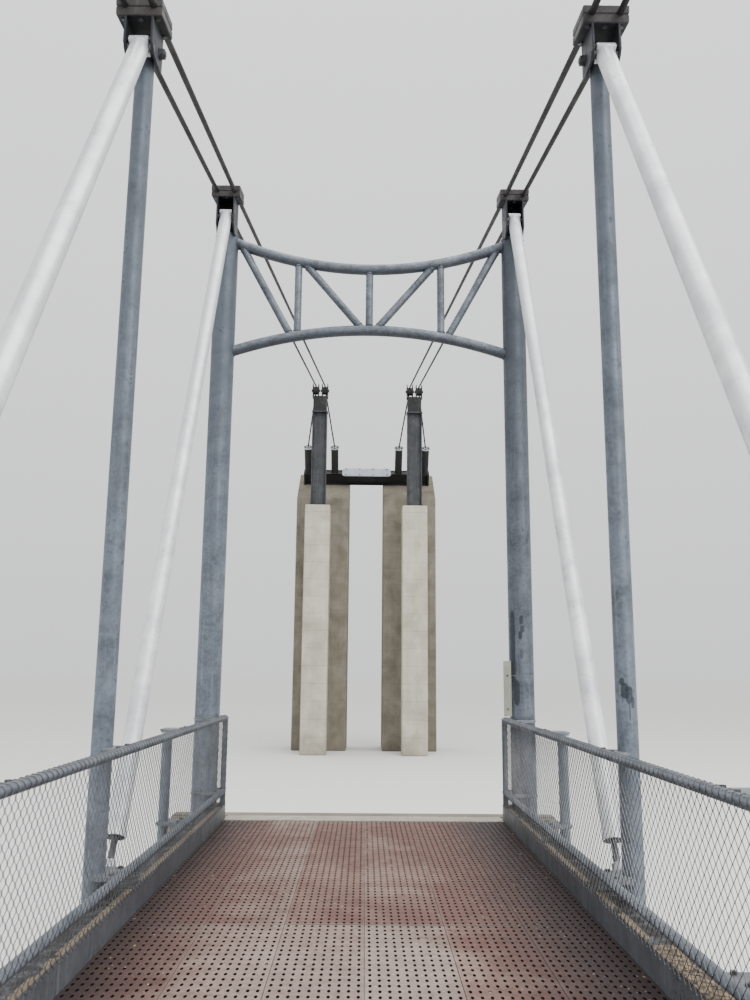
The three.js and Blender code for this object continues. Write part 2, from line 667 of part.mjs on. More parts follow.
for (const [hand, side] of [['left', -1], ['right', 1]]) {
  const x = side * PLANE_X;
  bridge.add(piece(`hanger_middle_${hand}`, hangerGeometry(BAYS / 2), galvanised(), x));
  for (const [line, offset] of [['inner', -side], ['outer', side]]) {
    const cable = fuse([sweep(cablePath(offset * CABLE_SPREAD_HEAD), CABLE_RADIUS, CABLE_SIDES)]);
    bridge.add(piece(`main_cable_${hand}_${line}`, cable, cableSteel(), x));
  }
  bridge.add(piece(`railing_${hand}`, railingGeometry(side), galvanised()));
  const sheetOuter = RAIL_X - RAIL_RADIUS - GAP;
  const sheet = box(
    -MESH_THICK / 2, -DECK_HALF_LENGTH, MESH_BOTTOM,
    MESH_THICK / 2, DECK_HALF_LENGTH, TOP_RAIL,
  );
  bridge.add(piece(`rail_mesh_${hand}`, sheet, galvanised(), side * (sheetOuter - MESH_THICK / 2)));
}

const deck = box(
  -DECK_HALF_WIDTH + GAP, -DECK_HALF_LENGTH, -DECK_THICK,
  DECK_HALF_WIDTH - GAP, DECK_HALF_LENGTH, 0,
);
bridge.add(piece('deck', deck, deckSteel()));
bridge.add(piece('deck_frame', deckFrameGeometry(), toeSteel()));

const signBack = -SIGN.contact - GAP;
const sign = box(SIGN.inner, signBack - SIGN.thick, SIGN.bottom, SIGN.outer, signBack, SIGN.top);
bridge.add(piece('sign_plate', sign, palePlate(), 0, SPAN_HALF));

export default bridge;
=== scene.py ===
"""Suspension footbridge, a 1:2 scale model in metres: +Z up, +Y along the bridge, +X to the right.

Pipe hangers and bright diagonals hang from twin cables, with a punched steel deck and wire mesh rails.
"""

import json
import logging
import math
import random
from collections.abc import Callable, Iterator, Sequence
from contextlib import contextmanager
from dataclasses import dataclass, replace
from enum import Enum
from functools import cache
from itertools import product

import bmesh
import bpy
from mathutils import Euler, Matrix, Vector

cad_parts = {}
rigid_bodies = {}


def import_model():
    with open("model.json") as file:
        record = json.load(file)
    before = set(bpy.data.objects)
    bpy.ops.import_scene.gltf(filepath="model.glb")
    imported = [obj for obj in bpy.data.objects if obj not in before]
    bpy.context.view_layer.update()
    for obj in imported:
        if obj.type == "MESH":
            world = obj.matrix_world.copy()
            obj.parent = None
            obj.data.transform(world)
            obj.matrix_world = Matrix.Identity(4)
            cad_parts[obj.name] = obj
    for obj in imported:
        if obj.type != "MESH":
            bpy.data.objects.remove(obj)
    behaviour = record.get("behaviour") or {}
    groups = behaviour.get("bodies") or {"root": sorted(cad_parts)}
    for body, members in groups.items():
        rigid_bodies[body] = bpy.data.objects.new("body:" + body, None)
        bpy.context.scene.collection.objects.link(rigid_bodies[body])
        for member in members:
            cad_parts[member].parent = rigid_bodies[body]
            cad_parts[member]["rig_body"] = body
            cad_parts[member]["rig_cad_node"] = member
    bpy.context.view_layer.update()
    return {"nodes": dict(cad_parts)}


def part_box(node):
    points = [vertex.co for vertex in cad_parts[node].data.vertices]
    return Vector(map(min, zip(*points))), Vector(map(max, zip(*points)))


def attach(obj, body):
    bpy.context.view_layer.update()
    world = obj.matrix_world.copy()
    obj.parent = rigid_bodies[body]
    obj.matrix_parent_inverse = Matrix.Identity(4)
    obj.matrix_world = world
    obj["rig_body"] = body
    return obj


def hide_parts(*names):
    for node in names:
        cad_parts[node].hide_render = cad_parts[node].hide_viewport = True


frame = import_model()

log = logging.getLogger("footbridge")

Object = bpy.types.Object
Socket = bpy.types.NodeSocket
Colour = tuple[float, float, float]
Point = Sequence[float]

ROOT = "root"
CLEAR = 0.0003
MERGE = 1e-5
UP = (0, 0, 1)
ACROSS = (1, 0, 0)
INWARDS = (-1, 0, 0)
BOTH = (-1, 1)
FACE_ON = 0.9


def real(metres: float) -> float:
    """Size on the 1:2 model of a size on the real bridge."""
    return metres * 0.5


def paint(colour: Colour) -> tuple[float, ...]:
    """Linear colour with full alpha, from red, green and blue as display values from 0 to 255."""
    light = [s / 12.92 if s <= 0.04045 else ((s + 0.055) / 1.055) ** 2.4 for s in (v / 255 for v in colour)]
    return (*light, 1.0)


class Way(Enum):
    """One of two ways to go, by its sign."""

    @property
    def word(self) -> str:
        """Its word in a node's name."""
        return self.name.lower()

    @property
    def turn(self) -> Matrix:
        """Half turn of a piece drawn at the far end or on the right to the other one, or none."""
        return Matrix.Rotation(0.0 if self.value > 0 else math.pi, 4, "Z")


class End(Way):
    """End of the bridge, by the sign of its Y."""

    FAR = 1
    NEAR = -1


class Hand(Way):
    """Side of the bridge, by the sign of its X."""

    LEFT = -1
    RIGHT = 1


class Line(Way):
    """Cable of a pair, by its side of the hangers' plane as seen from the middle of the deck."""

    INNER = -1
    OUTER = 1


@dataclass(frozen=True)
class Layout:
    """Lines and levels that the sub-assemblies share. Heights count from the walking surface."""

    deck_top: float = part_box("deck")[1].z
    bays: int = 6
    bay: float = real(4.055)
    plane_x: float = real(1.74)
    deck_half_width: float = real(1.524)
    deck_half_length: float = real(12.215)
    toe_height: float = real(0.163)
    rail_x: float = real(1.54)
    rail_radius: float = real(0.0302)
    top_rail: float = real(1.075)
    lower_rail: float = real(0.30)
    portal_joint: float = real(7.31)
    bay_slopes: tuple[float, ...] = (0.207, 0.1242, 0.0414)
    column_radius: float = real(0.1365)
    hanger_radius: float = real(0.0707)
    cable_radius: float = real(0.026)
    seat: float = real(-0.45)
    mast_y: float = real(34.0)
    saddle_height: float = real(11.815)
    saddle_radius: float = real(0.15)
    disc: tuple[float, float] = (real(35.5), real(10.03))
    disc_spread: float = real(0.51)

    @property
    def supports(self) -> int:
        """Number of supports from a portal to the middle of the span, less one."""
        return self.bays // 2

    @property
    def span_half(self) -> float:
        """Distance from the middle of the span to a portal."""
        return self.supports * self.bay

    def support_y(self, index: int) -> float:
        """Distance of a support from the middle, with the portal as number 0."""
        return self.span_half - index * self.bay

    def joint(self, index: int) -> float:
        """Height of the cable clamp over the deck at a support."""
        return self.portal_joint - sum(slope * self.bay for slope in self.bay_slopes[:index])

    def place(self, index: int, end: End, hand: Hand) -> Matrix:
        """Place of a support's axis at deck level, turned so that +Y of its piece points away from mid-span.

        Args:
            index: Support number, 0 at the portal.
            end: End of the bridge.
            hand: Side of the bridge.

        Returns:
            The matrix that takes a piece drawn round the origin to its place.
        """
        foot = (hand.value * self.plane_x, end.value * self.support_y(index), self.deck_top)
        return Matrix.Translation(foot) @ end.turn


LAYOUT = Layout()


# Shader tools

class Tree:
    """Adds nodes to one node tree, and sets or links their inputs."""

    def __init__(self, tree: bpy.types.NodeTree) -> None:
        """Keeps the node tree."""
        self.tree = tree

    def feed(self, node: bpy.types.Node, inputs: dict) -> None:
        """Links sockets to a node's inputs or sets their values, by input name or number.

        Args:
            node: The node.
            inputs: Socket or value by input name or number.
        """
        for name, value in inputs.items():
            if isinstance(value, Socket):
                self.tree.links.new(value, node.inputs[name])
            elif value is not None:
                node.inputs[name].default_value = value

    def add(self, kind: str, inputs: dict | None = None, **settings: object) -> bpy.types.Node:
        """New node with its settings and inputs.

        Args:
            kind: Blender's name of the node type, without the leading ShaderNode.
            inputs: Values or sockets by input name or number.
            **settings: Properties of the node.

        Returns:
            The new node.
        """
        node = self.tree.nodes.new("ShaderNode" + kind)
        for name, value in settings.items():
            setattr(node, name, value)
        self.feed(node, inputs or {})
        return node

    def group(self, kind: bpy.types.NodeTree, inputs: dict) -> dict[str, Socket]:
        """Puts a shader group into the tree and gives its outputs by name."""
        node = self.add("Group", inputs, node_tree=kind)
        return {socket.name: socket for socket in node.outputs}

    def noise(self, vector: Socket, scale: float | Socket, detail: float = 3.0, rough: float = 0.55,
              bend: float = 0.0) -> Socket:
        """Soft noise from 0 to 1."""
        return self.add("TexNoise", {
            "Vector": vector, "Scale": scale, "Detail": detail, "Roughness": rough, "Distortion": bend,
        }).outputs["Fac"]

    def cells(self, vector: Socket, scale: float) -> bpy.types.NodeOutputs:
        """Cell pattern, with a Color for each cell and the Distance from its middle."""
        return self.add("TexVoronoi", {"Vector": vector, "Scale": scale}).outputs

    def math(self, operation: str, a: object, b: object = None, c: object = None) -> Socket:
        """Result of a math node."""
        return self.add("Math", {0: a, 1: b, 2: c}, operation=operation).outputs[0]

    def times(self, a: object, b: object) -> Socket:
        """Product of two values."""
        return self.math("MULTIPLY", a, b)

    def total(self, *terms: tuple[Socket, float]) -> Socket:
        """Sum of values, each times its weight."""
        whole = 0.0
        for value, weight in terms:
            whole = self.math("MULTIPLY_ADD", value, weight, whole)
        return whole

    def away(self, value: Socket, middle: float = 0.0) -> Socket:
        """Distance of a value from a middle."""
        return self.math("ABSOLUTE", self.math("SUBTRACT", value, middle))

    def band(self, value: Socket, low: float, high: float, to_low: float = 0.0,
             to_high: float = 1.0) -> Socket:
        """Value spread from one range to another, and held inside it."""
        return self.add("MapRange", {
            "Value": value, "From Min": low, "From Max": high, "To Min": to_low, "To Max": to_high,
        }).outputs["Result"]

    def blend(self, factor: object, a: Socket | Colour, b: Socket | Colour) -> Socket:
        """Mix of two colours."""
        a, b = (paint(colour) if isinstance(colour, tuple) else colour for colour in (a, b))
        return self.add("Mix", {0: factor, 6: a, 7: b}, data_type="RGBA").outputs[2]

    def layered(self, colour: Socket, *layers: tuple[Socket, Colour]) -> Socket:
        """Lays colours over one another, each through its mask."""
        for mask, top in layers:
            colour = self.blend(mask, colour, top)
        return colour

    def stretch(self, vector: Socket, scale: Point) -> Socket:
        """Vector scaled on each axis."""
        return self.add("Mapping", {"Vector": vector, "Scale": scale}).outputs[0]

    def upended(self, vector: Socket) -> Socket:
        """Vector turned so that its second axis runs up the piece."""
        return self.add("Mapping", {"Vector": vector, "Rotation": (math.pi / 2, 0.0, 0.0)}).outputs[0]

    def parts(self, vector: Socket) -> tuple[Socket, ...]:
        """X, Y and Z of a vector."""
        return tuple(self.add("SeparateXYZ", {0: vector}).outputs)

    def facing(self) -> Socket:
        """How far the surface looks up: 1 on top, 0 on a side, -1 underneath."""
        return self.parts(self.add("NewGeometry").outputs["Normal"])[2]

    def bump(self, height: Socket, strength: float, distance: float) -> Socket:
        """Normal from a height."""
        return self.add("Bump", {"Height": height, "Strength": strength, "Distance": distance}).outputs[0]


def shader_group(name: str, inputs: dict[str, object],
                 fill: Callable[[Tree, dict[str, Socket]], dict[str, Socket]]) -> bpy.types.NodeTree:
    """Makes a shader node group, all of whose outputs are values.

    Args:
        name: Name of the group.
        inputs: Default of each input, with None for a vector.
        fill: Function that adds the nodes and returns a socket for each output.

    Returns:
        The node group.
    """
    group = bpy.data.node_groups.new(name, "ShaderNodeTree")
    for label, default in inputs.items():
        kind = "NodeSocketVector" if default is None else "NodeSocketFloat"
        socket = group.interface.new_socket(name=label, in_out="INPUT", socket_type=kind)
        if default is not None:
            socket.default_value = default
    tree = Tree(group)
    source = group.nodes.new("NodeGroupInput")
    made = fill(tree, {socket.name: socket for socket in source.outputs if socket.name})
    for label in made:
        group.interface.new_socket(name=label, in_out="OUTPUT", socket_type="NodeSocketFloat")
    tree.feed(group.nodes.new("NodeGroupOutput"), made)
    return group


@cache
def weather_group() -> bpy.types.NodeTree:
    """Group of masks for weathered metal: soft blotches, crystal spangle, sparse scuffs and fine grain."""
    def fill(tree: Tree, inputs: dict[str, Socket]) -> dict[str, Socket]:
        """Nodes of the group."""
        place = inputs["Vector"]
        blotch = tree.noise(place, inputs["Blotch Scale"], 6.0, 0.68, 0.4)
        coarse = tree.band(tree.noise(place, 7.0, 2.0, 0.5), 0.56, 0.66)
        fine = tree.band(tree.noise(place, 55.0, 4.0, 0.65, 0.8), 0.56, 0.62)
        return {
            "Blotch": tree.band(blotch, 0.36, 0.64),
            "Spangle": tree.parts(tree.cells(place, 90.0)["Color"])[0],
            "Scuff": tree.times(coarse, fine),
            "Grain": tree.noise(place, 420.0, 2.0, 0.5),
        }

    return shader_group("weathering", {"Vector": None, "Blotch Scale": 4.0}, fill)


@cache
def run_group() -> bpy.types.NodeTree:
    """Group of masks for marks along the map's second axis: broad runs, thin drips and short dashes."""
    def fill(tree: Tree, inputs: dict[str, Socket]) -> dict[str, Socket]:
        """Nodes of the group."""
        def streaks(across: float, along: float, detail: float, rough: float, bend: float = 0.0) -> Socket:
            """Noise drawn out along the second axis."""
            drawn = tree.stretch(inputs["Vector"], (across, along, across))
            return tree.noise(drawn, 1.0, detail, rough, bend)

        short = tree.band(streaks(190.0, 24.0, 3.0, 0.55, 0.3), 0.6, 0.66)
        cluster = tree.band(streaks(9.0, 3.0, 2.0, 0.5), 0.54, 0.64)
        return {
            "Runs": tree.band(streaks(14.0, 0.9, 4.0, 0.6, 0.3), 0.42, 0.72),
            "Drips": tree.band(streaks(70.0, 1.6, 3.0, 0.6, 0.2), 0.56, 0.74),
            "Dashes": tree.times(short, cluster),
        }

    return shader_group("water runs", {"Vector": None}, fill)


@cache
def dust_group() -> bpy.types.NodeTree:
    """Group of a mask for dirt that settles on faces that look up."""
    def fill(tree: Tree, inputs: dict[str, Socket]) -> dict[str, Socket]:
        """Nodes of the group."""
        patch = tree.band(tree.noise(inputs["Vector"], 16.0, 5.0, 0.65), 0.34, 0.6)
        return {"Dust": tree.times(tree.times(tree.band(tree.facing(), 0.55, 0.95), patch), inputs["Amount"])}

    return shader_group("settled dust", {"Vector": None, "Amount": 1.0}, fill)


class Pattern(Enum):
    """What a finish's runs follow."""

    SPACE = "Object"
    PIPE = "UV"


@dataclass(frozen=True)
class Finish:
    """What every finish has: a name, and the record's material slot that it stands for."""

    name: str
    slot: str

    def material(self) -> bpy.types.Material:
        """The finish's material, made once.

        Returns:
            The material.
        """
        known = bpy.data.materials.get(self.name)
        if known:
            return known
        material = bpy.data.materials.new(self.name)
        material.use_nodes = True
        tree = Tree(material.node_tree)
        places = tree.add("TexCoord").outputs
        looks = self.looks(tree, places["Object"], places["UV"])
        tree.feed(material.node_tree.nodes["Principled BSDF"], looks)
        return material

    def looks(self, tree: Tree, space: Socket, own: Socket) -> dict[str, object]:
        """Adds the nodes of the material.

        Args:
            tree: The material's node tree.
            space: Object coordinates.
            own: The piece's own map, in metres.

        Returns:
            A value or socket for each input of the main shader that is set.
        """
        raise NotImplementedError


@dataclass(frozen=True)
class Mark:
    """Dark mark on an upright: its middle, half its size, the Y before which it lies, and its strength."""

    x: float
    z: float
    half_width: float
    half_height: float
    before_y: float
    depth: float


@dataclass(frozen=True)
class Metal(Finish):
    """Weathered metal: blotches, spangle, runs, drips, scuffs and settled dust over a base colour, and
    painted shade where asked.
    """

    base: Colour
    dark: Colour
    pale: Colour
    # Colour of stains, scuffs and marks, and of the painted shade underneath and towards the ends.
    stain: Colour
    dust: Colour = (148.9, 137.0, 123.5)
    rusty: Colour = (112, 62, 36)
    metallic: float = 0.35
    gloss: tuple[float, float] = (0.42, 0.62)
    blotch_scale: float = 4.0
    spangle: float = 0.25
    runs: float = 0.5
    drips: float = 0.35
    scuffs: float = 0.6
    dashes: float = 0.0
    dusty: float = 0.25
    rust: float = 0.0
    relief: float = 0.25
    aloft: float = 0.0
    # Strength of the painted shade on faces that look down.
    under: float = 0.0
    shaded_ends: float = 0.0
    follows: Pattern = Pattern.SPACE
    marks: tuple[Mark, ...] = ()

    def ragged(self, tree: Tree, space: Socket, mark: Mark) -> Socket:
        """Mask of one dark mark with an uneven edge, on the side of its pipe that faces mid-span.

        Args:
            tree: The material's node tree.
            space: Object coordinates.
            mark: The mark.

        Returns:
            Socket of the mask.
        """
        across, along, up = tree.parts(space)
        wander = tree.noise(tree.stretch(space, (1.0, 1.0, 0.45)), 60.0, 4.0, 0.65)
        terms = [(wander, 1.6)]
        for value, middle, half, power in (
            (across, mark.x, mark.half_width, 2.5), (up, mark.z, mark.half_height, 4.0),
        ):
            share = tree.math("DIVIDE", tree.away(value, middle), half)
            terms.append((tree.math("POWER", share, power), 1.0))
        shape = tree.band(tree.total(*terms), 1.5, 2.0, mark.depth, 0.0)
        return tree.times(shape, tree.math("LESS_THAN", along, mark.before_y))

    def looks(self, tree: Tree, space: Socket, own: Socket) -> dict[str, object]:
        """Base colour under layers of wear and painted shade, with shine and relief that go with them."""
        _, along, up = tree.parts(space)
        worn = tree.group(weather_group(), {"Vector": space, "Blotch Scale": self.blotch_scale})
        flow = own if self.follows is Pattern.PIPE else tree.upended(space)
        water = tree.group(run_group(), {"Vector": flow})
        settled = tree.group(dust_group(), {"Vector": space, "Amount": self.dusty})["Dust"]
        low, high = LAYOUT.deck_top + real(1.8), LAYOUT.deck_top + real(5.4)
        spots = tree.noise(space, 38.0, 5.0, 0.7, 0.6) if self.rust else 0.0
        colour = tree.layered(
            tree.blend(worn["Blotch"], self.dark, self.base),
            (tree.times(worn["Spangle"], self.spangle), self.pale),
            (tree.times(water["Runs"], self.runs), self.dark),
            (tree.times(water["Drips"], self.drips), self.pale),
            (tree.band(up, low, high, 0.0, self.aloft), self.dark),
            # Painted shade on faces that look down.
            (tree.band(tree.facing(), -0.9, 0.0, self.under, 0.0), self.stain),
            (tree.band(tree.away(along), real(6.6), real(9.0), 0.0, self.shaded_ends), self.stain),
            (tree.times(worn["Scuff"], self.scuffs), self.stain),
            (tree.times(water["Dashes"], self.dashes), self.stain),
            (tree.band(spots, 0.62, 0.72, 0.0, self.rust), self.rusty),
            *((self.ragged(tree, space, mark), self.stain) for mark in self.marks),
            (settled, self.dust))
        shine = tree.total((worn["Blotch"], -0.5), (worn["Scuff"], 0.4), (settled, 1.0))
        height = tree.total(
            (worn["Grain"], 0.35), (worn["Blotch"], 1.0), (water["Drips"], 0.5), (worn["Scuff"], -0.8))
        return {
            "Base Color": colour,
            "Roughness": tree.band(shine, -0.6, 0.3, self.gloss[0], self.gloss[1] + 0.12),
            "Metallic": self.metallic,
            "Normal": tree.bump(height, self.relief, real(0.0012)),
        }


@dataclass(frozen=True)
class Strand(Finish):
    """Wire rope: wires laid round the cable in a steep helix, dark and greasy."""

    base: Colour = (19, 17, 17)
    pale: Colour = (36, 33, 32)
    wires: int = 14
    lay: float = real(0.42)
    radius: float = LAYOUT.cable_radius

    def looks(self, tree: Tree, space: Socket, own: Socket) -> dict[str, object]:
        """Wires that show by their crowns, under blotchy grease."""
        around, along, _ = tree.parts(own)
        phase = tree.total((around, self.wires / (math.tau * self.radius)), (along, self.wires / self.lay))
        wave = tree.math("SINE", tree.times(phase, math.tau))
        blotch = tree.group(weather_group(), {"Vector": space, "Blotch Scale": 9.0})["Blotch"]
        return {
            "Base Color": tree.blend(tree.times(tree.band(wave, -0.4, 1.0), blotch), self.base, self.pale),
            "Roughness": tree.band(blotch, 0.0, 1.0, 0.72, 0.55),
            "Metallic": 0.15,
            "Normal": tree.bump(wave, 0.5, real(0.002)),
        }


@dataclass(frozen=True)
class PunchedSteel(Finish):
    """Walking surface: planks of slightly different tint, red-brown worn patches, and darkening towards the
    sides.
    """

    plank: float = real(0.508)
    grey: Colour = (152, 138, 127)
    pink: Colour = (142, 113, 102)
    worn: Colour = (90, 58, 49)
    dirt: Colour = (38, 25, 23)
    # Colour of the dark bay joints, and of the painted shade on the slots' walls.
    hollow: Colour = (13, 11, 10)
    # Colour of the painted highlights beside the long seams and the bay joints.
    rub: Colour = (176, 165, 154)
    crumb: Colour = (206, 196, 180)

    def looks(self, tree: Tree, space: Socket, own: Socket) -> dict[str, object]:
        """Tint by plank, under wear, painted highlights beside seams and joints, dirt, darkening towards the
        sides, crumbs, and painted shade on the slots' walls.
        """
        across, along, _ = tree.parts(space)
        cell = tree.add("CombineXYZ", {
            "X": tree.math("FLOOR", tree.math("DIVIDE", across, self.plank)),
            "Y": tree.math("FLOOR", tree.math("DIVIDE", along, LAYOUT.bay)),
        }).outputs[0]
        chance = tree.add("TexWhiteNoise", {"Vector": cell}, noise_dimensions="2D").outputs
        worn = tree.group(weather_group(), {"Vector": space, "Blotch Scale": 5.0})
        fleck = tree.noise(space, 34.0, 4.0, 0.7, 0.3)
        rusty = tree.total(
            (tree.noise(space, 2.2, 6.0, 0.62, 0.5), 1.0),
            (tree.band(tree.away(across, real(-0.22)), real(0.3), real(1.75), -0.12, 0.34), 1.0),
            (tree.band(tree.away(along), real(8.06), real(8.16), 0.1, 0.3), 1.0),
            (chance["Value"], 0.08))
        seam = tree.math("PINGPONG", across, self.plank / 2)
        joint = tree.math("PINGPONG", along, LAYOUT.bay / 2)
        seam_highlight = tree.times(tree.band(seam, real(0.004), real(0.011), 0.24, 0.0), worn["Blotch"])
        edge = tree.total((tree.away(across, real(-0.12)), 1.0), (worn["Blotch"], real(0.12)))
        crumbs = tree.band(tree.cells(space, 34.0)["Distance"], 0.07, 0.1, 1.0, 0.0)
        strewn = tree.band(tree.noise(space, 3.6, 3.0, 0.6), 0.5, 0.6, 0.0, 0.8)
        colour = tree.layered(
            tree.blend(chance["Value"], self.grey, self.pink),
            (tree.band(fleck, 0.35, 0.7, 0.0, 0.35), self.dirt),
            (tree.band(rusty, 0.48, 0.82, 0.0, 0.95), self.worn),
            (tree.band(tree.parts(chance["Color"])[1], 0.0, 1.0, 0.0, 0.16), self.worn),
            # Painted highlights beside the long seams and the bay joints.
            (seam_highlight, self.rub),
            (tree.band(joint, real(0.012), real(0.034), 0.2, 0.0), self.rub),
            # Darker towards the sides, more on the right.
            (tree.band(edge, real(0.85), real(1.44), 0.0, 0.94), self.dirt),
            (tree.band(joint, real(0.006), real(0.012), 1.0, 0.0), self.hollow),
            (tree.times(worn["Scuff"], 0.5), self.dirt),
            (tree.times(crumbs, strewn), self.crumb),
            # Painted shade on the slots' walls, which face sideways.
            (tree.band(tree.away(tree.facing()), 0.3, 0.7, 1.0, 0.0), self.hollow))
        return {
            "Base Color": colour,
            "Roughness": tree.band(fleck, 0.3, 0.7, 0.55, 0.8),
            "Metallic": 0.25,
            "Normal": tree.bump(tree.total((fleck, 0.7), (worn["Grain"], 0.4)), 0.35, real(0.0012)),
        }


@dataclass(frozen=True)
class Concrete(Finish):
    """Cast concrete: mottled, pored, with board joints, runs and a darker foot."""

    base: Colour = (142, 136, 122)
    dark: Colour = (94, 89, 77)
    hollow: Colour = (78, 72, 62)
    damp: Colour = (86, 80, 66)
    dust: Colour = (120, 110, 88)
    board: float = real(0.6)

    def looks(self, tree: Tree, space: Socket, own: Socket) -> dict[str, object]:
        """Mottled colour under runs, grit, joints, pores, damp and dust."""
        up = tree.parts(space)[2]
        cloud = tree.noise(space, 2.6, 7.0, 0.62, 0.3)
        grit = tree.noise(space, 130.0, 3.0, 0.6)
        pore = tree.band(tree.cells(space, 46.0)["Distance"], 0.06, 0.16, 1.0, 0.0)
        course = tree.total((up, 1.0), (tree.noise(space, 3.0, 2.0), real(0.012)))
        seam = tree.band(tree.math("PINGPONG", course, self.board / 2), real(0.002), real(0.008), 1.0, 0.0)
        water = tree.group(run_group(), {"Vector": tree.upended(space)})
        colour = tree.layered(
            tree.blend(tree.band(cloud, 0.3, 0.72), self.dark, self.base),
            (tree.times(water["Runs"], 0.4), self.dark),
            (tree.times(water["Drips"], 0.3), self.base),
            (tree.band(grit, 0.35, 0.75, 0.0, 0.25), self.dark),
            (tree.math("MAXIMUM", tree.times(seam, 0.45), tree.times(pore, 0.4)), self.hollow),
            (tree.band(tree.total((up, 1.0), (cloud, 0.3)), 0.15, 0.6, 0.35, 0.0), self.damp),
            (tree.group(dust_group(), {"Vector": space, "Amount": 0.5})["Dust"], self.dust))
        height = tree.total((cloud, 1.0), (grit, 0.5), (pore, -1.0), (seam, -1.0))
        return {
            "Base Color": colour,
            "Roughness": tree.band(cloud, 0.3, 0.7, 0.94, 0.8),
            "Normal": tree.bump(height, 0.5, real(0.004)),
        }


@dataclass(frozen=True)
class Litter(Finish):
    """Dry dirt that has gathered: tan and brown crumbs."""

    dark: Colour = (96, 83, 67)
    pale: Colour = (150, 134, 110)
    cloud: Colour = (122, 108, 88)
    crumb_scale: float = 120.0
    cloudy: float = 0.7

    def looks(self, tree: Tree, space: Socket, own: Socket) -> dict[str, object]:
        """Crumbs of mixed shades under soft clouds."""
        crumbs = tree.cells(space, self.crumb_scale)
        cloud = tree.noise(space, 14.0, 5.0, 0.7)
        colour = tree.layered(
            tree.blend(tree.parts(crumbs["Color"])[0], self.dark, self.pale),
            (tree.band(cloud, 0.35, 0.65, 0.0, self.cloudy), self.cloud))
        return {
            "Base Color": colour,
            "Roughness": tree.band(cloud, 0.3, 0.7, 0.85, 1.0),
            "Normal": tree.bump(crumbs["Distance"], 0.8, real(0.006)),
        }


def stains(before_y: float, *rows: tuple[float, ...]) -> tuple[Mark, ...]:
    """Marks of one upright, from rows of X, height over the deck, half sizes (all real) and strength."""
    return tuple(
        Mark(real(x), LAYOUT.deck_top + real(z), real(wide), real(tall), before_y, depth)
        for x, z, wide, tall, depth in rows)


COLUMN_STAINS = stains(
    LAYOUT.span_half,
    (1.634, 1.86, 0.023, 0.42, 0.85), (1.665, 1.38, 0.029, 0.14, 0.8), (1.725, 2.17, 0.020, 0.05, 0.85),
    (1.736, 2.07, 0.024, 0.040, 0.8), (1.712, 2.00, 0.021, 0.045, 0.85), (1.720, 1.80, 0.020, 0.06, 0.4))
HANGER_STAINS = stains(
    LAYOUT.support_y(1),
    (1.700, 1.535, 0.014, 0.025, 0.75), (1.716, 1.475, 0.025, 0.05, 0.8), (1.742, 1.45, 0.024, 0.06, 0.8),
    (1.764, 1.40, 0.014, 0.04, 0.7), (1.742, 1.35, 0.005, 0.07, 0.6))
GALVANISED = Metal(
    "galvanised pipe", "galvanised_steel", (114, 124, 137), (76, 83, 92), (148, 157, 168), (40, 46, 54),
    dust=(90, 85, 76), gloss=(0.42, 0.6), blotch_scale=7.0, runs=0.6, drips=0.45, dashes=0.4, aloft=0.75,
    follows=Pattern.PIPE)
TRUSS_STEEL = replace(
    GALVANISED, name="truss pipe", base=(108, 115, 124), dark=(64, 70, 78), pale=(146, 152, 160), aloft=0.0,
    under=0.85)
# Darker than the other galvanised pipe, as painted shade under the wrapped wires.
HAND_RAIL_STEEL = replace(
    GALVANISED, name="hand rail pipe", base=(110, 117, 126), dark=(68, 74, 82), pale=(146, 153, 162),
    under=0.6)
# Lighter than the other galvanised pipe, as painted light.
LOWER_RAIL_STEEL = replace(
    GALVANISED, name="lower rail pipe", base=(126, 134, 144), dark=(88, 95, 104), pale=(158, 165, 174),
    under=0.6)
STAINED_AND_SHADED = {
    # Darker all over as painted shade, and stained.
    "portal_column_far_right": replace(
        GALVANISED, name="stained column pipe", base=(99, 107, 118), dark=(60, 66, 74), pale=(130, 137, 146),
        marks=COLUMN_STAINS),
    "hanger_far_right_1": replace(GALVANISED, name="stained hanger pipe", marks=HANGER_STAINS),
}
GALVANISED_PLATE = Metal(
    "galvanised plate", "galvanised_steel", (116, 123, 130), (78, 84, 91), (156, 162, 168), (42, 42, 44),
    dust=(112, 102, 84), blotch_scale=9.0)
SILVER = Metal(
    "silver pipe", "silver_pipe", (242, 243, 244), (190, 192, 195), (250, 250, 250), (106, 104, 100),
    dust=(170, 162, 148), metallic=0.4, gloss=(0.3, 0.46), blotch_scale=6.0, spangle=0.12, drips=0.4,
    scuffs=0.35, aloft=0.75, follows=Pattern.PIPE)
CLAMP_STEEL = Metal(
    "clamp steel", "dark_steel", (70, 67, 66), (41, 40, 42), (104, 98, 92), (24, 23, 23),
    gloss=(0.45, 0.66), blotch_scale=9.0, spangle=0.1, rust=0.3)
# Galvanised cheek and web plates, darkened as painted shade.
SHADED_CHEEK_STEEL = Metal(
    "cheek steel", "galvanised_steel", (46, 49, 54), (26, 28, 32), (78, 82, 88), (15, 16, 18),
    metallic=0.4, gloss=(0.45, 0.65), blotch_scale=9.0)
FIXING = Metal(
    "bolt steel", "galvanised_steel", (90, 91, 94), (56, 56, 59), (142, 144, 146), (34, 30, 28),
    metallic=0.6, gloss=(0.35, 0.55), rust=0.35)
MAST_STEEL = Metal(
    "mast steel", "dark_steel", (60, 62, 65), (37, 39, 42), (92, 95, 98), (20, 21, 23),
    metallic=0.3, gloss=(0.42, 0.6), spangle=0.12, runs=0.8, drips=0.5, rust=0.1)
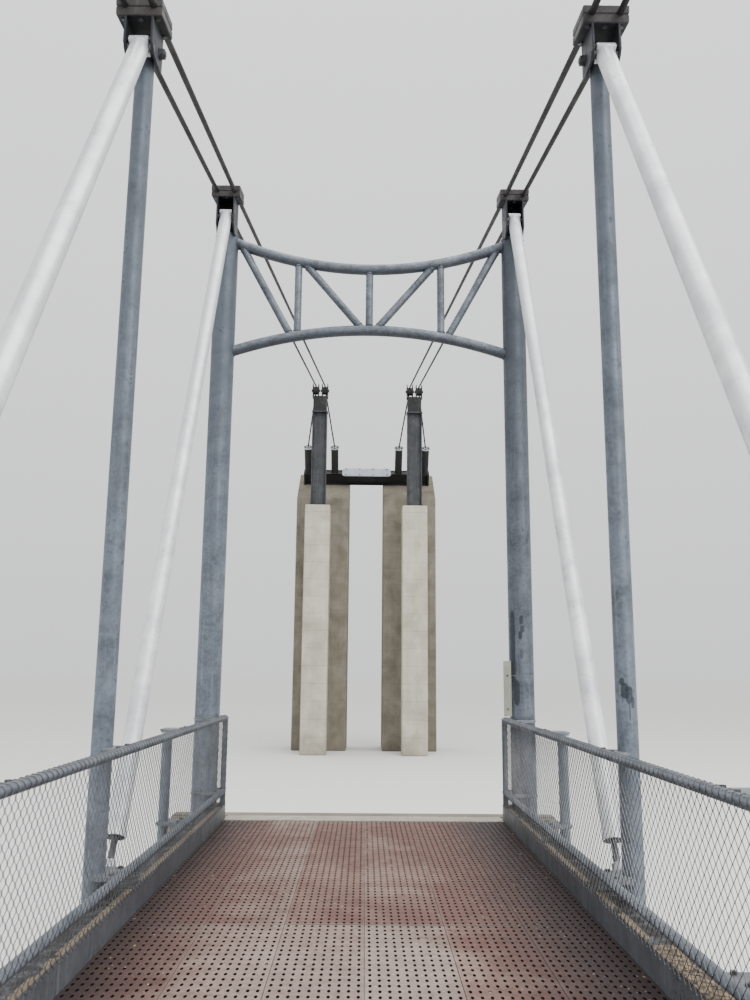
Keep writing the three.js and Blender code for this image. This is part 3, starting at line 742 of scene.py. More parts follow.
# Dark steel of the mast heads, darkened further as painted shade.
SHADED_MAST_HEAD_STEEL = Metal(
    "mast head steel", "dark_steel", (21, 22, 24), (12, 12, 13), (46, 48, 51), (10, 10, 11),
    gloss=(0.42, 0.6), blotch_scale=9.0, spangle=0.12, rust=0.12)
BLACK_STEEL = Metal(
    "black steel", "black_steel", (27, 27, 28), (16, 16, 17), (50, 48, 46), (12, 12, 12),
    metallic=0.25, gloss=(0.42, 0.64), spangle=0.1, rust=0.12)
PALE_STEEL = Metal(
    "pale steel", "black_steel", (196, 205, 215), (158, 168, 180), (232, 236, 240), (96, 92, 86),
    metallic=0.15, gloss=(0.4, 0.6), blotch_scale=6.0, rust=0.2)
BEARING_STEEL = replace(
    PALE_STEEL, name="bearing steel", base=(173, 181, 194), dark=(140, 148, 160), rust=0.45)
# Its dust colour is near black, so faces that look up, the flange tops among them, go dark.
FRAME_STEEL = Metal(
    "frame steel", "frame_steel", (110, 114, 120), (76, 79, 85), (148, 152, 158), (38, 38, 41),
    dust=(33, 28, 25), gloss=(0.36, 0.56), spangle=0.15, drips=0.5, dusty=1.4, rust=0.12, shaded_ends=0.5)
THRESHOLD_STEEL = Metal(
    "threshold steel", "threshold_steel", (176, 171, 161), (140, 135, 125), (204, 200, 191), (76, 68, 60),
    dust=(140, 128, 108), metallic=0.4, gloss=(0.4, 0.62), blotch_scale=8.0, dusty=0.5, rust=0.3)
WIRE_STEEL = Metal(
    "mesh wire", "woven_wire", (102, 105, 109), (58, 61, 65), (150, 153, 156), (60, 56, 52),
    metallic=0.2, gloss=(0.36, 0.54), spangle=0.0, rust=0.2, relief=0.0)
PANEL = Metal(
    "bare panel", "sign_panel", (164, 166, 154), (136, 139, 127), (186, 188, 178), (90, 88, 80),
    metallic=0.05, gloss=(0.4, 0.55), spangle=0.0, scuffs=0.4)
ZINC = Metal(
    "zinc fixing", "galvanised_steel", (182, 185, 188), (140, 144, 148), (216, 218, 220), (80, 76, 72),
    metallic=0.3, gloss=(0.34, 0.54), rust=0.12)
# Dark gasket between the clamp plates, and dark parts that stand for painted shade.
DARK_FILLER_AND_SHADE = Metal(
    "joint filler", "dark_steel", (32, 35, 41), (22, 24, 29), (50, 53, 58), (12, 12, 12),
    metallic=0.0, gloss=(0.6, 0.8), spangle=0.0)
STRAND = Strand("cable strand", "cable_steel")
PUNCHED = PunchedSteel("punched steel", "deck_steel")
CONCRETE = Concrete("cast concrete", "concrete")
PALE_CONCRETE = Concrete("pale concrete", "concrete", base=(206, 200, 184), dark=(158, 152, 136))
LITTER = Litter("gathered dirt", "frame_steel")
LEAVES = Litter(
    "gathered leaf crumbs", "frame_steel", dark=(24, 20, 17), pale=(160, 138, 110), cloud=(62, 56, 49),
    crumb_scale=88.0, cloudy=0.35)


# Modelling tools

def select_only(*objects: Object) -> None:
    """Selects these objects and no others, and makes the last one active."""
    bpy.ops.object.select_all(action="DESELECT")
    for thing in objects:
        thing.select_set(True)
    bpy.context.view_layer.objects.active = objects[-1]


@contextmanager
def editing(thing: Object, kind: str = "FACE", whole: bool = False) -> Iterator[None]:
    """Edit mode on one object.

    Args:
        thing: The object to shape.
        kind: What is selected: VERT, EDGE or FACE.
        whole: True to start with all of it selected, and not with nothing.
    """
    select_only(thing)
    bpy.ops.object.mode_set(mode="EDIT")
    bpy.ops.mesh.select_mode(type=kind)
    bpy.ops.mesh.select_all(action="SELECT" if whole else "DESELECT")
    yield
    bpy.ops.object.mode_set(mode="OBJECT")


def pick_faces(thing: Object, test: Callable[[Vector], bool]) -> None:
    """Selects only the faces whose normal passes a test, in edit mode."""
    bpy.ops.mesh.select_all(action="DESELECT")
    for face in bmesh.from_edit_mesh(thing.data).faces:
        face.select_set(test(face.normal))
    bmesh.update_edit_mesh(thing.data)


def pick_edges(thing: Object, test: Callable[[Vector, Vector], bool]) -> None:
    """Selects only the edges whose two ends pass a test, in edit mode."""
    bpy.ops.mesh.select_all(action="DESELECT")
    for edge in bmesh.from_edit_mesh(thing.data).edges:
        edge.select_set(test(edge.verts[0].co, edge.verts[1].co))
    bmesh.update_edit_mesh(thing.data)


def primitive(operator: Callable, **sizes: object) -> Object:
    """Adds a primitive with nothing else selected, and puts its place into its mesh."""
    bpy.ops.object.select_all(action="DESELECT")
    operator(**sizes)
    bpy.ops.object.transform_apply(location=True, rotation=True, scale=True)
    return bpy.context.object


def coat(thing: Object, finish: Finish | None) -> Object:
    """Gives a piece its finish, if it has one."""
    if finish:
        thing.data.materials.append(finish.material())
    return thing


def extrude(step: Point) -> None:
    """Extrudes the selected faces by a step, in edit mode."""
    bpy.ops.mesh.extrude_region_move(TRANSFORM_OT_translate={"value": step})


def sink_rim(rim: float, depth: float) -> None:
    """Insets the selected faces by a rim and moves them out by a depth, in edit mode."""
    bpy.ops.mesh.inset(thickness=rim, use_individual=True)
    bpy.ops.mesh.extrude_region_shrink_fatten(TRANSFORM_OT_shrink_fatten={"value": depth})


def face_outwards(merge: float = 0.0) -> None:
    """Turns the whole mesh's faces outwards in edit mode, with points merged that lie this close."""
    bpy.ops.mesh.select_all(action="SELECT")
    if merge:
        bpy.ops.mesh.remove_doubles(threshold=merge)
    bpy.ops.mesh.normals_make_consistent(inside=False)


def smooth(thing: Object, degrees: float = 35.0) -> Object:
    """Smooth shading, apart from edges sharper than the angle."""
    select_only(thing)
    bpy.ops.object.shade_smooth_by_angle(angle=math.radians(degrees))
    return thing


def soften(thing: Object, width: float) -> Object:
    """Rounds the edges sharper than 30 degrees with an applied bevel, and gives the object back.

    Args:
        thing: The object to finish.
        width: Width of the rounding.

    Returns:
        The same object.
    """
    select_only(thing)
    bevel = thing.modifiers.new("rounded edges", "BEVEL")
    bevel.width = width
    bevel.segments = 1
    bevel.limit_method = "ANGLE"
    bevel.angle_limit = math.radians(30.0)
    bevel.use_clamp_overlap = True
    bpy.ops.object.modifier_apply(modifier=bevel.name)
    return thing


def repeat(thing: Object, count: int, step: Point, merge: bool = False) -> None:
    """Repeats an object in a row with an applied array, and merges the edges that meet if asked.

    Args:
        thing: The object.
        count: How many there are then.
        step: Move from one to the next.
        merge: True to merge edges that meet.
    """
    select_only(thing)
    row = thing.modifiers.new("repeat", "ARRAY")
    row.count = count
    row.use_relative_offset = False
    row.use_constant_offset = True
    row.constant_offset_displace = step
    row.use_merge_vertices = merge
    row.merge_threshold = MERGE
    bpy.ops.object.modifier_apply(modifier=row.name)


def join(name: str, parts: Sequence[Object]) -> Object:
    """Joins parts into one object with the given name.

    Args:
        name: Name of the whole.
        parts: One part or more.

    Returns:
        The whole.
    """
    select_only(*parts)
    if len(parts) > 1:
        bpy.ops.object.join()
    whole = bpy.context.object
    whole.name = name
    whole.data.name = name
    return whole


def copy_to(model: Object, name: str, place: Matrix) -> Object:
    """Copy of a model with its own mesh, put in its place.

    Args:
        model: The object to copy.
        name: Name of the copy.
        place: Where the copy goes, seen from the model.

    Returns:
        The copy, with its object at the origin.
    """
    twin = model.copy()
    twin.data = model.data.copy()
    twin.name = name
    twin.data.name = name
    twin.data.transform(place)
    bpy.context.scene.collection.objects.link(twin)
    return twin


def discard(*models: Object) -> None:
    """Removes models that were only there to be copied."""
    for model in models:
        mesh = model.data
        bpy.data.objects.remove(model)
        bpy.data.meshes.remove(mesh)


def block(low: Point, high: Point, edge: float = 0.0, finish: Finish | None = None) -> Object:
    """Plate or block between two corners, with its edges rounded.

    Args:
        low: Lowest corner.
        high: Highest corner.
        edge: Width of the rounding, or 0 for sharp edges.
        finish: Finish of the plate.

    Returns:
        The new object.
    """
    low, high = Vector(low), Vector(high)
    thing = primitive(bpy.ops.mesh.primitive_cube_add, size=1, location=(low + high) / 2, scale=high - low)
    if edge:
        soften(thing, edge)
    return coat(thing, finish)


def centred(centre: Point, size: Point, edge: float = 0.0, finish: Finish | None = None) -> Object:
    """Plate or block of the given size round a centre."""
    centre, half = Vector(centre), Vector(size) / 2
    return block(centre - half, centre + half, edge, finish)


def wrap_pipe(thing: Object, start: Vector, axis: Vector, radius: float, front: Vector) -> None:
    """Lays a map on a straight pipe: metres round it and metres along it, with its joint opposite the front.

    Args:
        thing: The pipe.
        start: Start of its axis.
        axis: Unit direction of its axis.
        radius: Radius of the pipe.
        front: Direction that looks away from the map's joint.
    """
    ahead = (front - axis * front.dot(axis)).normalized()
    aside = axis.cross(ahead)
    mesh = thing.data
    layer = mesh.uv_layers[0]
    for face in mesh.polygons:
        away = face.center - start
        middle = math.atan2(away.dot(aside), away.dot(ahead))
        for loop in face.loop_indices:
            arm = mesh.vertices[mesh.loops[loop].vertex_index].co - start
            angle = math.atan2(arm.dot(aside), arm.dot(ahead))
            turns = round((middle - angle) / math.tau)
            layer.data[loop].uv = ((angle + turns * math.tau) * radius, arm.dot(axis))


def turn_to(axis: Point) -> Euler:
    """Turn that takes +Z to an axis."""
    return Vector(axis).to_track_quat("Z", "Y").to_euler()


def pipe(start: Point, end: Point, radius: float, sides: int = 28, front: Point = (0, -1, 0.2),
         wall: float = 0.12, finish: Finish | None = None) -> Object:
    """Round pipe between two points, with a plug set a little into each end.

    Args:
        start: Centre of the first end.
        end: Centre of the other end.
        radius: Outer radius.
        sides: Number of sides.
        front: Direction that looks away from the map's joint.
        wall: Width of the end's ring as a share of the radius, or 0 for plain ends.
        finish: Finish of the pipe.

    Returns:
        The new object.
    """
    start, end = Vector(start), Vector(end)
    axis = (end - start).normalized()
    thing = primitive(
        bpy.ops.mesh.primitive_cylinder_add, vertices=sides, radius=radius, depth=(end - start).length,
        location=(start + end) / 2, rotation=turn_to(axis))
    if wall:
        with editing(thing):
            pick_faces(thing, lambda normal: abs(normal.dot(axis)) > FACE_ON)
            sink_rim(radius * wall, -radius * wall * 0.6)
    wrap_pipe(thing, start, axis, radius, Vector(front))
    return coat(thing, finish)


def hexagon(centre: Point, axis: Point, width: float, height: float, finish: Finish) -> Object:
    """Nut or bolt head: a six-sided prism with its corners turned off.

    Args:
        centre: Middle of the prism.
        axis: Direction of the bolt.
        width: Size across the flats.
        height: Height of the prism.
        finish: Finish of the nut.

    Returns:
        The new object.
    """
    axis = Vector(axis).normalized()
    radius = width / math.sqrt(3)
    thing = primitive(bpy.ops.mesh.primitive_cylinder_add, vertices=6, radius=radius, depth=height,
                      location=centre, rotation=turn_to(axis))
    with editing(thing):
        pick_faces(thing, lambda normal: abs(normal.dot(axis)) > FACE_ON)
        sink_rim(radius * 0.16, height * 0.08)
    return coat(thing, finish)


def weld(centre: Point, axis: Point, radius: float, finish: Finish, bead: float = real(0.006)) -> Object:
    """Weld bead round a pipe, with a slightly uneven run.

    Args:
        centre: Centre of the ring.
        axis: Axis of the pipe.
        radius: Radius of the pipe.
        finish: Finish of the bead.
        bead: Half the width of the bead.

    Returns:
        The new object.
    """
    ring = primitive(bpy.ops.mesh.primitive_torus_add, major_segments=24, minor_segments=5,
                     major_radius=radius, minor_radius=bead, location=centre, rotation=turn_to(axis))
    with editing(ring, "VERT", whole=True):
        bpy.ops.transform.vertex_random(offset=bead * 0.25, seed=7)
    return coat(ring, finish)


def anchor_bolt(foot: Point, middle: float, width: float, height: float, reach: float,
                radius: float) -> list[Object]:
    """Upright bolt with its nut.

    Args:
        foot: Where the bolt leaves the plate.
        middle: Height of the nut's middle over the plate.
        width: Size of the nut across its flats.
        height: Height of the nut.
        reach: Height of the bolt.
        radius: Radius of the bolt.

    Returns:
        The nut and the bolt.
    """
    foot = Vector(foot)
    nut = hexagon(foot + Vector((0, 0, middle)), UP, width, height, FIXING)
    return [nut, pipe(foot, foot + Vector((0, 0, reach)), radius, 10, finish=FIXING)]


def tube(name: str, points: Sequence[Point], radius: float, sides: int, finish: Finish) -> Object:
    """Round bar along a route, with a map of metres round it and metres along it.

    Args:
        name: Name of the new object.
        points: The route.
        radius: Radius of the bar.
        sides: Number of sides, a multiple of 4.
        finish: Finish of the bar.

    Returns:
        The new mesh object.
    """
    line = bpy.data.curves.new(name, "CURVE")
    line.dimensions = "3D"
    line.bevel_depth = radius
    line.bevel_resolution = sides // 2 - 2
    line.use_fill_caps = True
    spline = line.splines.new("POLY")
    spline.points.add(len(points) - 1)
    for knot, point in zip(spline.points, points):
        knot.co = (*point, 1.0)
    thing = bpy.data.objects.new(name, line)
    bpy.context.scene.collection.objects.link(thing)
    select_only(thing)
    bpy.ops.object.convert(target="MESH")
    thing = bpy.context.object
    mesh = thing.data
    lengths = [0.0]
    for before, after in zip(points, points[1:]):
        lengths.append(lengths[-1] + (Vector(after) - Vector(before)).length)
    layer = mesh.uv_layers[0]
    rim = len(points) * sides
    for face in mesh.polygons:
        corners = [mesh.loops[loop].vertex_index for loop in face.loop_indices]
        steps = [corner % sides for corner in corners]
        wraps = max(steps) - min(steps) > sides // 2
        for loop, corner, step in zip(face.loop_indices, corners, steps):
            step += sides if wraps and step < sides // 2 else 0
            along = lengths[corner // sides] if corner < rim else 0.0
            layer.data[loop].uv = (step / sides * math.tau * radius, along)
    with editing(thing, "VERT"):
        face_outwards(merge=1e-6)
    return coat(thing, finish)


def threaded(start: Point, end: Point, radius: float, pitch: float, finish: Finish) -> Object:
    """Threaded bar: a round bar with a row of ridges.

    Args:
        start: Centre of the first end.
        end: Centre of the other end.
        radius: Outer radius.
        pitch: Distance between ridges.
        finish: Finish of the bar.

    Returns:
        The new object.
    """
    start, end = Vector(start), Vector(end)
    ridges = max(1, round((end - start).length / pitch))
    step = (end - start) / (2 * ridges)
    root = 0.86
    bar = primitive(bpy.ops.mesh.primitive_circle_add, vertices=12, radius=radius * root, fill_type="NGON",
                    location=start, rotation=turn_to(step))
    with editing(bar, whole=True):
        for half in range(2 * ridges):
            extrude(step)
            bpy.ops.transform.resize(value=(root if half % 2 else 1 / root,) * 3)
        face_outwards()
    return coat(bar, finish)


def refined(node: str, name: str, edge: float, *finishes: Finish) -> Object:
    """Copy of a CAD node with its triangles merged into faces and its edges rounded.

    Args:
        node: Name of the CAD node.
        name: Name of the copy.
        edge: Width of the rounding.
        *finishes: Its finishes, of which the first is on every face.

    Returns:
        The copy.
    """
    thing = copy_to(frame["nodes"][node], name, Matrix.Identity(4))
    thing.parent = None
    thing.hide_render = False
    thing.hide_viewport = False
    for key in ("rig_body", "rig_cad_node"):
        if key in thing:
            del thing[key]
    thing.data.materials.clear()
    with editing(thing, "VERT", whole=True):
        bpy.ops.mesh.remove_doubles(threshold=MERGE)
        bpy.ops.mesh.dissolve_limited(angle_limit=math.radians(1.0))
    soften(thing, edge)
    for finish in finishes:
        coat(thing, finish)
    return thing


def show(thing: Object, nodes: Sequence[str] = ()) -> None:
    """Hands a finished piece over to the frame.

    Args:
        thing: The piece, in its place.
        nodes: CAD nodes that it stands for.
    """
    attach(thing, ROOT)
    if nodes:
        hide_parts(*nodes)
    thing.data.calc_loop_triangles()
    log.info("%s: %d triangles", thing.name, len(thing.data.loop_triangles))


def dress(node: str, word: str, edge: float, finish: Finish) -> None:
    """Shows a CAD node with its edges rounded, under its own name and a word for what it is made of."""
    show(smooth(refined(node, f"{node}_{word}", edge, finish), 30.0), [node])


# Sub-assemblies

COLUMN_DROP = real(0.52)


@dataclass(frozen=True)
class ClampHeads:
    """Cable clamps on the columns and hangers: two plates bolted over the cables, on two cheek plates."""

    width: float = real(0.345)
    reach: tuple[float, float] = (real(0.26), real(0.09))
    thick: float = real(0.13)
    split: float = real(0.009)
    cheek_offset: float = real(0.1)
    cheek_thick: float = real(0.018)
    cheek_reach: tuple[float, float] = (real(0.24), real(0.08))
    hanger_cheek: tuple[float, float] = (real(0.38), real(0.06))
    portal_cheek: tuple[float, float] = (real(0.56), real(0.1))
    web: tuple[float, float] = (real(0.05), real(0.064))
    bolt_width: float = real(0.038)
    bolt_height: float = real(0.012)
    bolt_columns: tuple[float, ...] = (-0.36, 0.0, 0.36)
    bolt_rows: tuple[float, ...] = (0.16, 0.84)
    pin_radius: float = real(0.028)
    pin_reach: float = real(0.112)

    def evenly(self, index: int, reach: tuple[float, float]) -> tuple[float, float]:
        """Reach in front of and behind the support's axis, made even at the middle of the span."""
        return (sum(reach) / 2, sum(reach) / 2) if index == LAYOUT.supports else reach

    def tilt(self, index: int) -> float:
        """Angle of the clamp plates, between the slopes of the cable on both sides.

        Args:
            index: Support number, 0 at the portal.

        Returns:
            The angle in radians.
        """
        slopes = LAYOUT.bay_slopes
        inner = slopes[index] if index < LAYOUT.supports else -slopes[index - 1]
        rise, run = LAYOUT.saddle_height - LAYOUT.portal_joint, LAYOUT.mast_y - LAYOUT.span_half
        outer = slopes[index - 1] if index else rise / run
        return math.atan((inner + outer) / 2)

    def clamp(self, index: int) -> Object:
        """The two clamp plates, a dark gasket in their joint, a dark sheet on their underside as painted
        shade, and six bolts.

        Args:
            index: Support number, 0 at the portal.

        Returns:
            The clamp as one object.
        """
        front, back = self.evenly(index, self.reach)
        half, level = self.width / 2, self.thick / 2
        inset = real(0.006)
        parts = []
        for low, high in ((-level, -self.split / 2), (self.split / 2, level)):
            parts.append(block((-half, -front, low), (half, back, high), real(0.005), CLAMP_STEEL))
        # A dark gasket in the joint, and a dark sheet on the underside as painted shade.
        for low, high in ((-self.split, self.split), (-level - real(0.003), -level + inset)):
            corner = (half - inset, back - inset, high)
            parts.append(block((inset - half, inset - front, low), corner, finish=DARK_FILLER_AND_SHADE))
        out = (self.thick + self.bolt_height) / 2
        for x, share, side in product(self.bolt_columns, self.bolt_rows, BOTH):
            place = (x * self.width, share * (front + back) - front, side * out)
            parts.append(hexagon(place, UP, self.bolt_width, self.bolt_height, FIXING))
        whole = join("clamp", parts)
        whole.data.transform(Matrix.Rotation(self.tilt(index), 4, "X"))
        whole.data.transform(Matrix.Translation((0, 0, LAYOUT.joint(index))))
        return whole

    def cheeks(self, index: int) -> Object:
        """The two cheek plates with chamfered corners, and the web plate at the back of a portal's head.

        Args:
            index: Support number, 0 at the portal.

        Returns:
            The plates as one object.
        """
        front, back = self.evenly(index, self.cheek_reach)
        depth, chamfer = self.portal_cheek if index == 0 else self.hanger_cheek
        joint = LAYOUT.joint(index)
        top = joint - self.thick * 0.3
        bottom = joint - depth

        def lower_corner(a: Vector, b: Vector) -> bool:
            """True on the bottom edges that run across the plate and are cut off."""
            low = max(a.z, b.z) < bottom + CLEAR
            fore = max(a.y, b.y) < -front + CLEAR
            aft = index == LAYOUT.supports and min(a.y, b.y) > back - CLEAR
            return low and (fore or aft)

        parts = []
        half = self.cheek_thick / 2
        for side in BOTH:
            x = side * self.cheek_offset
            cheek = block((x - half, -front, bottom), (x + half, back, top))
            with editing(cheek, "EDGE"):
                pick_edges(cheek, lower_corner)
                bpy.ops.mesh.bevel(offset=chamfer, segments=1, affect="EDGES")
            parts.append(coat(soften(cheek, real(0.002)), SHADED_CHEEK_STEEL))
        if index == 0:
            inner = self.cheek_offset - half
            low = (-inner, self.web[0], joint - COLUMN_DROP - real(0.01))
            parts.append(block(low, (inner, self.web[1], top), real(0.001), SHADED_CHEEK_STEEL))
        return join("cheeks", parts)

    def flush_pin(self, y: float, z: float) -> Object:
        """Pin of a diagonal, flush with the cheeks."""
        return pipe((-self.pin_reach, y, z), (self.pin_reach, y, z), self.pin_radius, 16, finish=FIXING)

    def bolted_pin(self, y: float, z: float) -> Object:
        """Pin of a hanger, with a washer and a large nut outside each cheek.

        Args:
            y: Place along the bridge.
            z: Height over the deck.

        Returns:
            The pin as one object.
        """
        face = self.cheek_offset + self.cheek_thick / 2
        reach = face + real(0.046)
        parts = [pipe((-reach, y, z), (reach, y, z), self.pin_radius * 0.8, 14, finish=FIXING)]
        for side in BOTH:
            rim = (side * (face + real(0.006)), y, z)
            nut = (side * (face + real(0.022)), y, z)
            parts.append(pipe((side * face, y, z), rim, real(0.046), 18, wall=0, finish=FIXING))
            parts.append(hexagon(nut, ACROSS, real(0.074), real(0.032), FIXING))
        return join("pin", parts)

    def model(self, index: int, hanger_pin: float | None, diagonal_pin: tuple[float, float] | None) -> Object:
        """Whole clamp head of a support, drawn round the support's axis.

        Args:
            index: Support number.
            hanger_pin: Height of the hanger's pin over the deck, or None at a portal.
            diagonal_pin: Place of the diagonal's pin in Y and height, or None at the middle of the span.

        Returns:
            The joined head.
        """
        parts = [self.clamp(index), self.cheeks(index)]
        if hanger_pin is not None:
            parts.append(self.bolted_pin(0.0, hanger_pin))
        if diagonal_pin is not None:
            parts.append(self.flush_pin(*diagonal_pin))
        return smooth(join(f"clamp_head_{index}", parts))


@dataclass(frozen=True)
class Diagonals:
    """Bright pipes from under a clamp head to the deck's edge beside the next hanger."""

    start_drop: float = real(0.03)
    setback: float = real(0.306)
    end_block: tuple[float, float, float] = (real(0.146), real(0.141), real(0.045))
    pin: float = real(0.35)
    foot_offset: float = real(0.46)
    foot_height: float = real(0.44)
    rod_radius: float = real(0.025)
    rod_pitch: float = real(0.014)
    cap_radius: float = real(0.076)
    cap_thick: float = real(0.048)
    bracket_top: float = real(0.17)
    nuts: tuple[tuple[float, float], ...] = ((real(0.304), real(0.258)), (real(0.254), real(0.196)))

    def axis(self, index: int) -> tuple[Vector, Vector, Vector]:
        """Start, foot and unit direction of a diagonal's axis, over the deck and round its support."""
        start = Vector((0, 0, LAYOUT.joint(index) - self.start_drop))
        foot = Vector((0, -LAYOUT.bay + self.foot_offset, self.foot_height))
        return start, foot, (foot - start).normalized()

    def pin_place(self, index: int) -> tuple[float, float]:
        """Place of the pin that holds a diagonal, in Y and height."""
        start, _, along = self.axis(index)
        point = start + along * self.pin
        return point.y, point.z

    def model(self, index: int) -> tuple[Object, Object]:
        """Pipe and foot fittings of a diagonal, drawn round its support's axis.

        Args:
            index: Number of the support that it hangs on.

        Returns:
            The pipe, and the foot with its rod and nuts.
        """
        start, foot, along = self.axis(index)
        radius = LAYOUT.hanger_radius
        top = start + along * self.setback
        neck = top + along * self.end_block[2]
        ear = centred((0, 0, 0), self.end_block, real(0.004), SILVER)
        turn = along.to_track_quat("Z", "X").to_matrix().to_4x4()
        ear.data.transform(Matrix.Translation((top + neck) / 2) @ turn @ Matrix.Rotation(math.pi / 2, 4, "Z"))
        rim = foot - along * self.cap_thick
        body = pipe(neck - along * real(0.01), foot, radius, 32, finish=SILVER)
        collar = pipe(rim, foot, self.cap_radius, 32, wall=0.3, finish=SILVER)
        # A dark disc inside the collar's end, as painted shade in the pipe's mouth.
        inner = foot - along * self.cap_thick / 2
        painted_shade_disc = pipe(inner, foot + along * CLEAR, self.cap_radius * 0.9, 16, wall=0, finish=DARK_FILLER_AND_SHADE)
        beads = [weld(point, along, radius, SILVER) for point in (neck, rim)]
        tube_piece = smooth(join(f"diagonal_{index}", [ear, body, collar, painted_shade_disc, *beads]))

        def at_height(height: float) -> Vector:
            """Point of the axis at a height over the deck."""
            return foot + along * ((self.foot_height - height) / -along.z)

        rod_end = at_height(self.bracket_top + real(0.02))
        # The rod takes the darker bolt steel, and not zinc like its nuts, as painted shade.
        parts = [threaded(foot - along * real(0.02), rod_end, self.rod_radius, self.rod_pitch, FIXING)]
        for high, low in self.nuts:
            middle = (at_height(high) + at_height(low)) / 2
            parts.append(hexagon(middle, along, real(0.066), (high - low) / -along.z, ZINC))
        washer = at_height(self.nuts[-1][1])
        parts.append(pipe(washer, washer + along * real(0.008), real(0.05), 20, wall=0, finish=ZINC))
        return tube_piece, smooth(join(f"diagonal_foot_{index}", parts))


@dataclass(frozen=True)
class Supports:
    """Portal columns and hangers with their clamp heads, and the diagonals between them."""

    heads: ClampHeads = ClampHeads()
    diagonals: Diagonals = Diagonals()
    hanger_drop: float = real(0.17)
    pin_drop: float = real(0.08)
    deck_thick: float = real(0.05)
    base_width: float = real(0.42)
    base_length: float = real(0.36)
    base_thick: float = real(0.03)

    def hanger(self, index: int) -> Object:
        """Hanger pipe with a weld at its foot and a plate on its top.

        Args:
            index: Support number, 0 at the portal.

        Returns:
            The pipe as one object.
        """
        steel, radius = GALVANISED, LAYOUT.hanger_radius
        foot = -self.deck_thick + CLEAR
        top = LAYOUT.joint(index) - self.hanger_drop
        parts = [pipe((0, 0, foot), (0, 0, top), radius, 32, finish=steel)]
        parts.append(pipe((0, 0, top - real(0.012)), (0, 0, top), radius * 1.04, 32, wall=0.1, finish=steel))
        for z in (foot + real(0.004), top - real(0.014)):
            parts.append(weld((0, 0, z), UP, radius, steel))
        return smooth(join(f"hanger_{index}", parts))

    def column(self) -> Object:
        """Portal column on its base plate, with welds and four anchor bolts.

        Returns:
            The column as one object.
        """
        steel, radius = GALVANISED, LAYOUT.column_radius
        foot = LAYOUT.seat + CLEAR
        top = LAYOUT.joint(0) - COLUMN_DROP
        level = foot + self.base_thick
        parts = [pipe((0, 0, foot), (0, 0, top), radius, 40, wall=0.07, finish=steel)]
        parts.append(weld((0, 0, top - real(0.012)), UP, radius, steel, real(0.007)))
        low = (-self.base_width / 2, -self.base_length / 2, foot)
        high = (self.base_width / 2, self.base_length / 2, level)
        parts.append(block(low, high, real(0.003), GALVANISED_PLATE))
        parts.append(weld((0, 0, level), UP, radius, steel, real(0.008)))
        for x, y in product((-0.42, 0.42), (-0.4, 0.4)):
            place = (x * self.base_width, y * self.base_length, level)
            parts += anchor_bolt(place, real(0.014), real(0.04), real(0.026), real(0.05), real(0.012))
        return smooth(join("column", parts))

    def build(self) -> None:
        """Places every column, hanger, clamp head and diagonal."""
        for index in range(LAYOUT.supports + 1):
            last = index == LAYOUT.supports
            post = self.hanger(index) if index else self.column()
            hanger_pin = LAYOUT.joint(index) - self.hanger_drop - self.pin_drop if index else None
            head = self.heads.model(index, hanger_pin, None if last else self.diagonals.pin_place(index))
            fittings = () if last else self.diagonals.model(index)
            for end, hand in product((End.FAR,) if last else End, Hand):
                place = LAYOUT.place(index, end, hand)
                side = f"{end.word}_{hand.word}"
                names = {0: f"portal_column_{side}", LAYOUT.supports: f"hanger_middle_{hand.word}"}
                node = names.get(index, f"hanger_{side}_{index}")
                upright = copy_to(post, f"{node}_pipe", place)
                self.stain(upright, node)
                show(upright, [node])
                show(copy_to(head, f"{node}_clamp", place), [node])
                diagonal = f"diagonal_{side}_{index + 1}"
                for model, word, finish in zip(fittings, ("pipe", "foot"), (SILVER, FIXING)):
                    show(copy_to(model, f"{diagonal}_{word}", place), [diagonal])
            discard(post, head, *fittings)

    def stain(self, upright: Object, node: str) -> None:
        """Swaps an upright's pipe finish for its stained one, where it has one; the far right column's is
        also darkened as painted shade.
        """
        for number, material in enumerate(upright.data.materials):
            if node in STAINED_AND_SHADED and material == GALVANISED.material():
                upright.data.materials[number] = STAINED_AND_SHADED[node].material()


